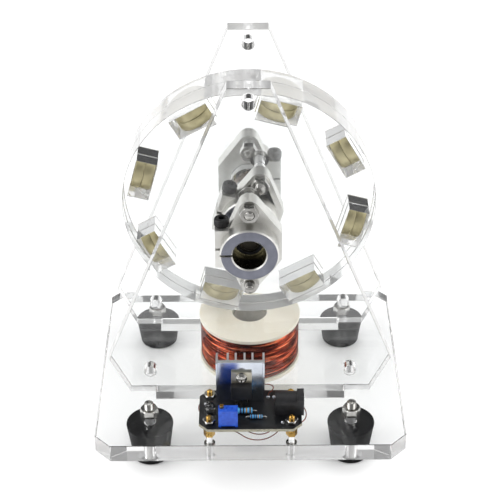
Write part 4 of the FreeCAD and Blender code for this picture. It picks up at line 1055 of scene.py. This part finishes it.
def bolt_sets(plated):
    """Bolts of the feet, the supports and the hub."""
    tree = thread_tree()
    wheel_back = Vector((0, WHEEL[2], AXIS_Z))
    high, low = SUPPORT_BOLTS_Z
    support_seats = [
        ((0, FRONT_PLATE[1], high), FORWARD, 20.6), ((0, FRONT_PLATE[1], low), FORWARD, 23.6),
        ((0, 52.5, high), FORWARD, 20.6), ((0, 52.5, low), FORWARD, 20.6),
    ]
    hub_seats = [
        (tuple(wheel_back + spoke(REST_TURN) * reach), FORWARD, 38.8) for reach in (HUB_BOLT_REACH, -HUB_BOLT_REACH)
    ]
    for name, node, body, seats in (
        ("foot_bolt_set", "foot_bolts", "stand", [((x, y, 9.0), UP, 24.6) for x, y in FOOT_PLACES]),
        ("support_bolt_set", "support_bolts", "stand", support_seats),
        ("hub_bolt_set", "rotor_hub_bolts", "rotor", hub_seats),
    ):
        handed_over(bolts(name, tree, seats, plated), body, "plated_steel", node)


def knurled_screws(black):
    """The black clamp screws, ribbed round their heads."""
    tree = knurl_tree()
    out = spoke(REST_TURN)
    side = Vector((out.z, 0.0, -out.x))
    hub_head = Vector((0, WHEEL[0] - 4.5, AXIS_Z)) - side * 13.1 + out * 12.1
    values = {"Radius": 0.00342, "Height": 0.0026, "Rib": 0.00019, "Count": 30, "Material": black}
    for name, node, body, heads in (
        ("clamp_screw_set", "support_clamp_screws", "stand", [((-13.1, -29.0, 133.1), UP), ((13.1, 49.0, 133.1), UP)]),
        ("hub_screw", "rotor_hub_clamp_screw", "rotor", [(tuple(hub_head), tuple(out))]),
    ):
        screw = worked_copy(name + "_plain", node, black)
        ribs = grown(name + "_ribs", tree, values, arrows(name + "_rows", heads))
        handed_over(joined(name, [screw, ribs]), body, "black_steel", node)


# Metal parts of the turning gear
def clamps(aluminium, painted_bore_finish):
    """The three split clamps: their boss ends in a darker bluish grey, which is painted reflection, and their bores in
    a dark tone, which is painted shade.
    """
    painted_boss_face = turned_face()
    for name, node, body, end in (
        ("front_support", "front_bearing_support", "stand", -40.5),
        ("rear_support", "rear_bearing_support", "stand", 60.5),
        ("wheel_hub", "rotor_hub", "rotor", -11.5),
    ):
        clamp = worked_copy(name, node, aluminium, edge=0.5)
        # Painted reflection: the boss end faces get the darker bluish finish.
        dress(clamp, painted_boss_face, lambda face, reach: abs(face.normal.y) > 0.99 and abs(face.center.y / MM - end) < 0.2)
        # Painted shade: the bore walls get a dark finish.
        dress(clamp, painted_bore_finish, lambda face, reach: abs(face.normal.y) < 0.3 and reach < 8.2)
        handed_over(clamp, body, "satin_aluminium", node)


def bearings_and_shaft(steels):
    seal = seal_rubber()
    for end in ("front", "rear"):
        for part, finish, slot, body in (
            # Painted reflection: the outer rings take the gold tinted steel.
            ("outer_ring", steels["race_steel"], "bearing_steel", "stand"),
            # Painted shade: the inner rings take the dark steel tone.
            ("inner_ring", steels["inner_race_steel"], "bearing_steel", "rotor"),
            ("seals", seal, "seal_rubber", "stand"),
        ):
            node = "%s_bearing_%s" % (end, part)
            copied("turned_" + node, node, finish, body, slot, edge=0.15)
        finished("%s_bearing_balls" % end, steels["race_steel"])
    shaft = worked_copy("turned_shaft", "rotor_shaft", steels["shaft_steel"], edge=0.1)
    # Painted shade: the shaft's end faces get a dark finish.
    dress(
        shaft, steels["shaft_end_steel"],
        lambda face, reach: abs(face.normal.y) > 0.9 and abs(face.center.y / MM - COIL_Y) > 34,
    )
    handed_over(shaft, "rotor", "bearing_steel", "rotor_shaft")


def magnets(nickel):
    """Eight pairs of discs, 20 mm across and 5 mm thick, with their rims just broken."""
    profile = [(0, 0), (9.6, 0), (9.87, 0.12), (10.0, 0.4), (10.0, 4.6), (9.87, 4.88), (9.6, 5.0), (0, 5.0)]
    disc = spun("disc", profile, Matrix(), nickel, count=72)
    values = {
        "Disc": disc, "Count": 8, "Stack": 2, "Inner": 49.2 * MM, "Step": 5.0 * MM,
        "Turn": math.radians(REST_TURN), "Centre": Vector((0, WHEEL[1], AXIS_Z)) * MM, "Material": nickel,
    }
    ring = grown("magnet_ring", magnet_tree(), values)
    bpy.data.objects.remove(disc)
    finish_mesh(ring, 40.0)
    handed_over(ring, "rotor", "plated_magnet", *["magnet_pair_%d" % (k + 1) for k in range(8)])


# Coil and board
def winding(copper):
    values = {
        "Path Radius": 24.8 * MM, "Wire Radius": 0.43 * MM, "Turns": 24.0, "Height": 22.6 * MM,
        "Segments": 84, "Wander": 0.5 * MM, "Stray Groups": 12, "Stray Turns": 1.6, "Stray Rise": 2.4 * MM,
        "Seed": 7, "Centre": Vector((0, COIL_Y, BASE_TOP + 2.7)) * MM, "Material": copper,
    }
    wire = grown("wound_coil", winding_tree(), values)
    handed_over(wire, "stand", "enamelled_copper", "coil_outer_turns")


def bare_board(mask, side):
    holes = [circle(x, y, PILLAR_HOLE, 32) for x, y in PILLAR_PLACES]
    lift = Matrix.Translation(Vector((0, 0, (BOARD_TOP + BOARD_LOW) / 2)) * MM)
    outline = cut_corners(25.5, -63.2, -33.2, 4.4)
    piece = cut_sheet("black_board", outline, holes, 1.6, lift, "Z", mask, side, side, edge=0.06)
    handed_over(piece, "stand", "black_board", "circuit_board")


def heat_sink(sawn):
    sink = worked_copy("finned_sink", "heat_sink", drawn_aluminium(), edge=0.12)
    dress(sink, sawn, lambda cut, reach: cut.normal.z > 0.5)
    handed_over(sink, "stand", "satin_aluminium", "heat_sink")


def resistors():
    """Two lacquered resistors: (centre, half width, colour) for each band along the body."""
    bands = [
        (0.13, 0.055, tone(62, 34, 52)), (0.34, 0.05, tone(34, 40, 84)), (0.5, 0.05, tone(24, 24, 28)),
        (0.66, 0.05, tone(166, 122, 56)), (0.87, 0.055, tone(84, 70, 50)),
    ]
    pieces = []
    for name, x, y, radius, length in (("large", -3.4, -51.0, 1.6, 9.0), ("small", 2.9, -55.0, 1.1, 6.2)):
        waist = radius * 0.86
        profile = [
            (0, 0), (radius * 0.5, 0.02), (waist, 0.14), (radius, 0.5), (radius, length * 0.2),
            (waist, length * 0.27), (waist, length * 0.73), (radius, length * 0.8), (radius, length - 0.5),
            (waist, length - 0.14), (radius * 0.5, length - 0.02), (0, length),
        ]
        start = (x - length / 2, y, BOARD_TOP + 0.1 + radius)
        finish = banded_lacquer("lacquer_" + name, x, length, bands)
        pieces.append(spun("resistor_" + name, profile, facing(start, (1, 0, 0)), finish, sharp_degrees=75.0))
    handed_over(joined("resistor_set", pieces), "stand", "pale_blue_lacquer", "resistor_bodies")


def clear_lamp(epoxy, tinned):
    """Clear dome over the two posts that hold the chip."""
    x, y, radius, shoulder = -19.8, -50.8, 2.5, 4.2
    profile = [(0, 0), (2.88, 0), (2.9, 0.1), (2.9, 0.9), (2.8, 1.0), (radius, 1.02), (radius, shoulder)]
    for k in range(1, 9):
        turn = math.radians(90 * k / 8)
        profile.append((radius * math.cos(turn) if k < 8 else 0, shoulder + radius * math.sin(turn)))
    lens = spun("lamp_dome", profile, facing((x, y, BOARD_TOP), UP), epoxy, count=48)
    handed_over(lens, "stand", "clear_epoxy", "lamp_lens")
    finished("lamp_legs", tinned)
    posts = []
    for k, (shift, wide, tall) in enumerate(((-1.016, 0.55, 3.0), (1.27, 0.35, 3.2))):
        profile = [
            (0, 0.1), (0.3, 0.1), (0.3, tall - 0.9), (wide, tall - 0.5), (wide, tall), (wide * 0.4, tall - 0.3),
            (0, tall - 0.3),
        ]
        posts.append(spun("lamp_post_%d" % k, profile, facing((x + shift, y, BOARD_TOP), UP), tinned, count=16))
    handed_over(joined("lamp_frame", posts), "stand", "tinned_metal")


# Build
def build():
    place_camera()
    white_floor()
    white_room()
    soft_lamps()
    light_paths()

    enamel = lead_enamel()
    coil_lead("coil_lead_short", UPPER_LEAD, "coil_lead_upper", enamel)
    coil_lead("coil_lead_long", LOWER_LEAD, "coil_lead_lower", enamel)
    clear_sheets(
        acrylic_face(), acrylic_edge("base_edge", "Z", 0.78, 0.05, 0.95),
        acrylic_edge("sawn_edge", "Y", 0.6, 0.1, 0.88), acrylic_edge("window_edge", "Y", 0.97, 0.02), broken_edge(),
    )

    metals = plain_metals()
    steels = ground_metals()
    plated, tinned, brass = metals["plated_steel"], metals["tinned_metal"], metals["brass"]
    can = moulded("can_moulding", tone(20, 20, 22), tone(36, 36, 38), 0.34, 0.5)
    moulding = moulded("black_moulding", tone(18, 18, 20), tone(34, 34, 37), 0.4, 0.58)
    blue = moulded("blue_plastic", tone(20, 66, 176), tone(38, 96, 214), 0.26, 0.4)

    clamps(metals["satin_aluminium"], steels["bored_aluminium"])
    bearings_and_shaft(steels)
    bolt_sets(plated)
    knurled_screws(black_steel())
    magnets(plated_magnet())
    winding(enamelled_copper())
    bare_board(board_mask(), board_edge())
    heat_sink(metals["sawn_aluminium"])
    resistors()
    clear_lamp(clear_epoxy(), tinned)
    copied("rubber_foot_set", "rubber_feet", black_rubber(), "stand", "black_rubber", 0.7, 3)
    copied("hub_nut_set", "rotor_hub_nuts", plated, "rotor", "plated_steel", 0.2)
    copied("trimmer_adjuster_screw", "trimmer_screw", brass, "trimmer_adjuster", "brass", 0.1)
    for name, node, finish, slot, edge in (
        ("foot_washer_set", "foot_washers", plated, "plated_steel", 0.15),
        ("foot_nut_set", "foot_nuts", plated, "plated_steel", 0.2),
        ("support_nut_set", "support_nuts", plated, "plated_steel", 0.2),
        ("buried_layers", "coil_inner_layers", buried_copper(), "enamelled_copper", 0),
        ("spool", "coil_bobbin", cream_plastic(), "cream_plastic", 0.3),
        ("core", "coil_core", soft_iron(), "soft_iron", 0.4),
        ("core_screw", "coil_screw", plated, "plated_steel", 0.2),
        ("pillar_set", "board_pillars", brass, "brass", 0.15),
        ("board_nut_set", "board_nuts", plated, "plated_steel", 0.15),
        ("board_screw_set", "board_screws", plated, "plated_steel", 0.15),
        ("solder_set", "solder_joints", metals["solder"], "tinned_metal", 0),
        ("can_body", "transistor_body", can, "black_moulding", 0.2),
        ("can_tab", "transistor_tab", metals["tab_plate"], "tinned_metal", 0.12),
        ("can_screw", "transistor_screw", plated, "plated_steel", 0.15),
        ("can_legs", "transistor_legs", tinned, "tinned_metal", 0.08),
        ("trimmer_box", "trimmer_body", blue, "blue_plastic", 0.2),
        ("socket_body", "power_socket", moulding, "black_moulding", 0.25),
        ("socket_pin", "power_socket_pin", tinned, "tinned_metal", 0.1),
        ("resistor_wires", "resistor_leads", tinned, "tinned_metal", 0),
    ):
        copied(name, node, finish, "stand", slot, edge)


build()
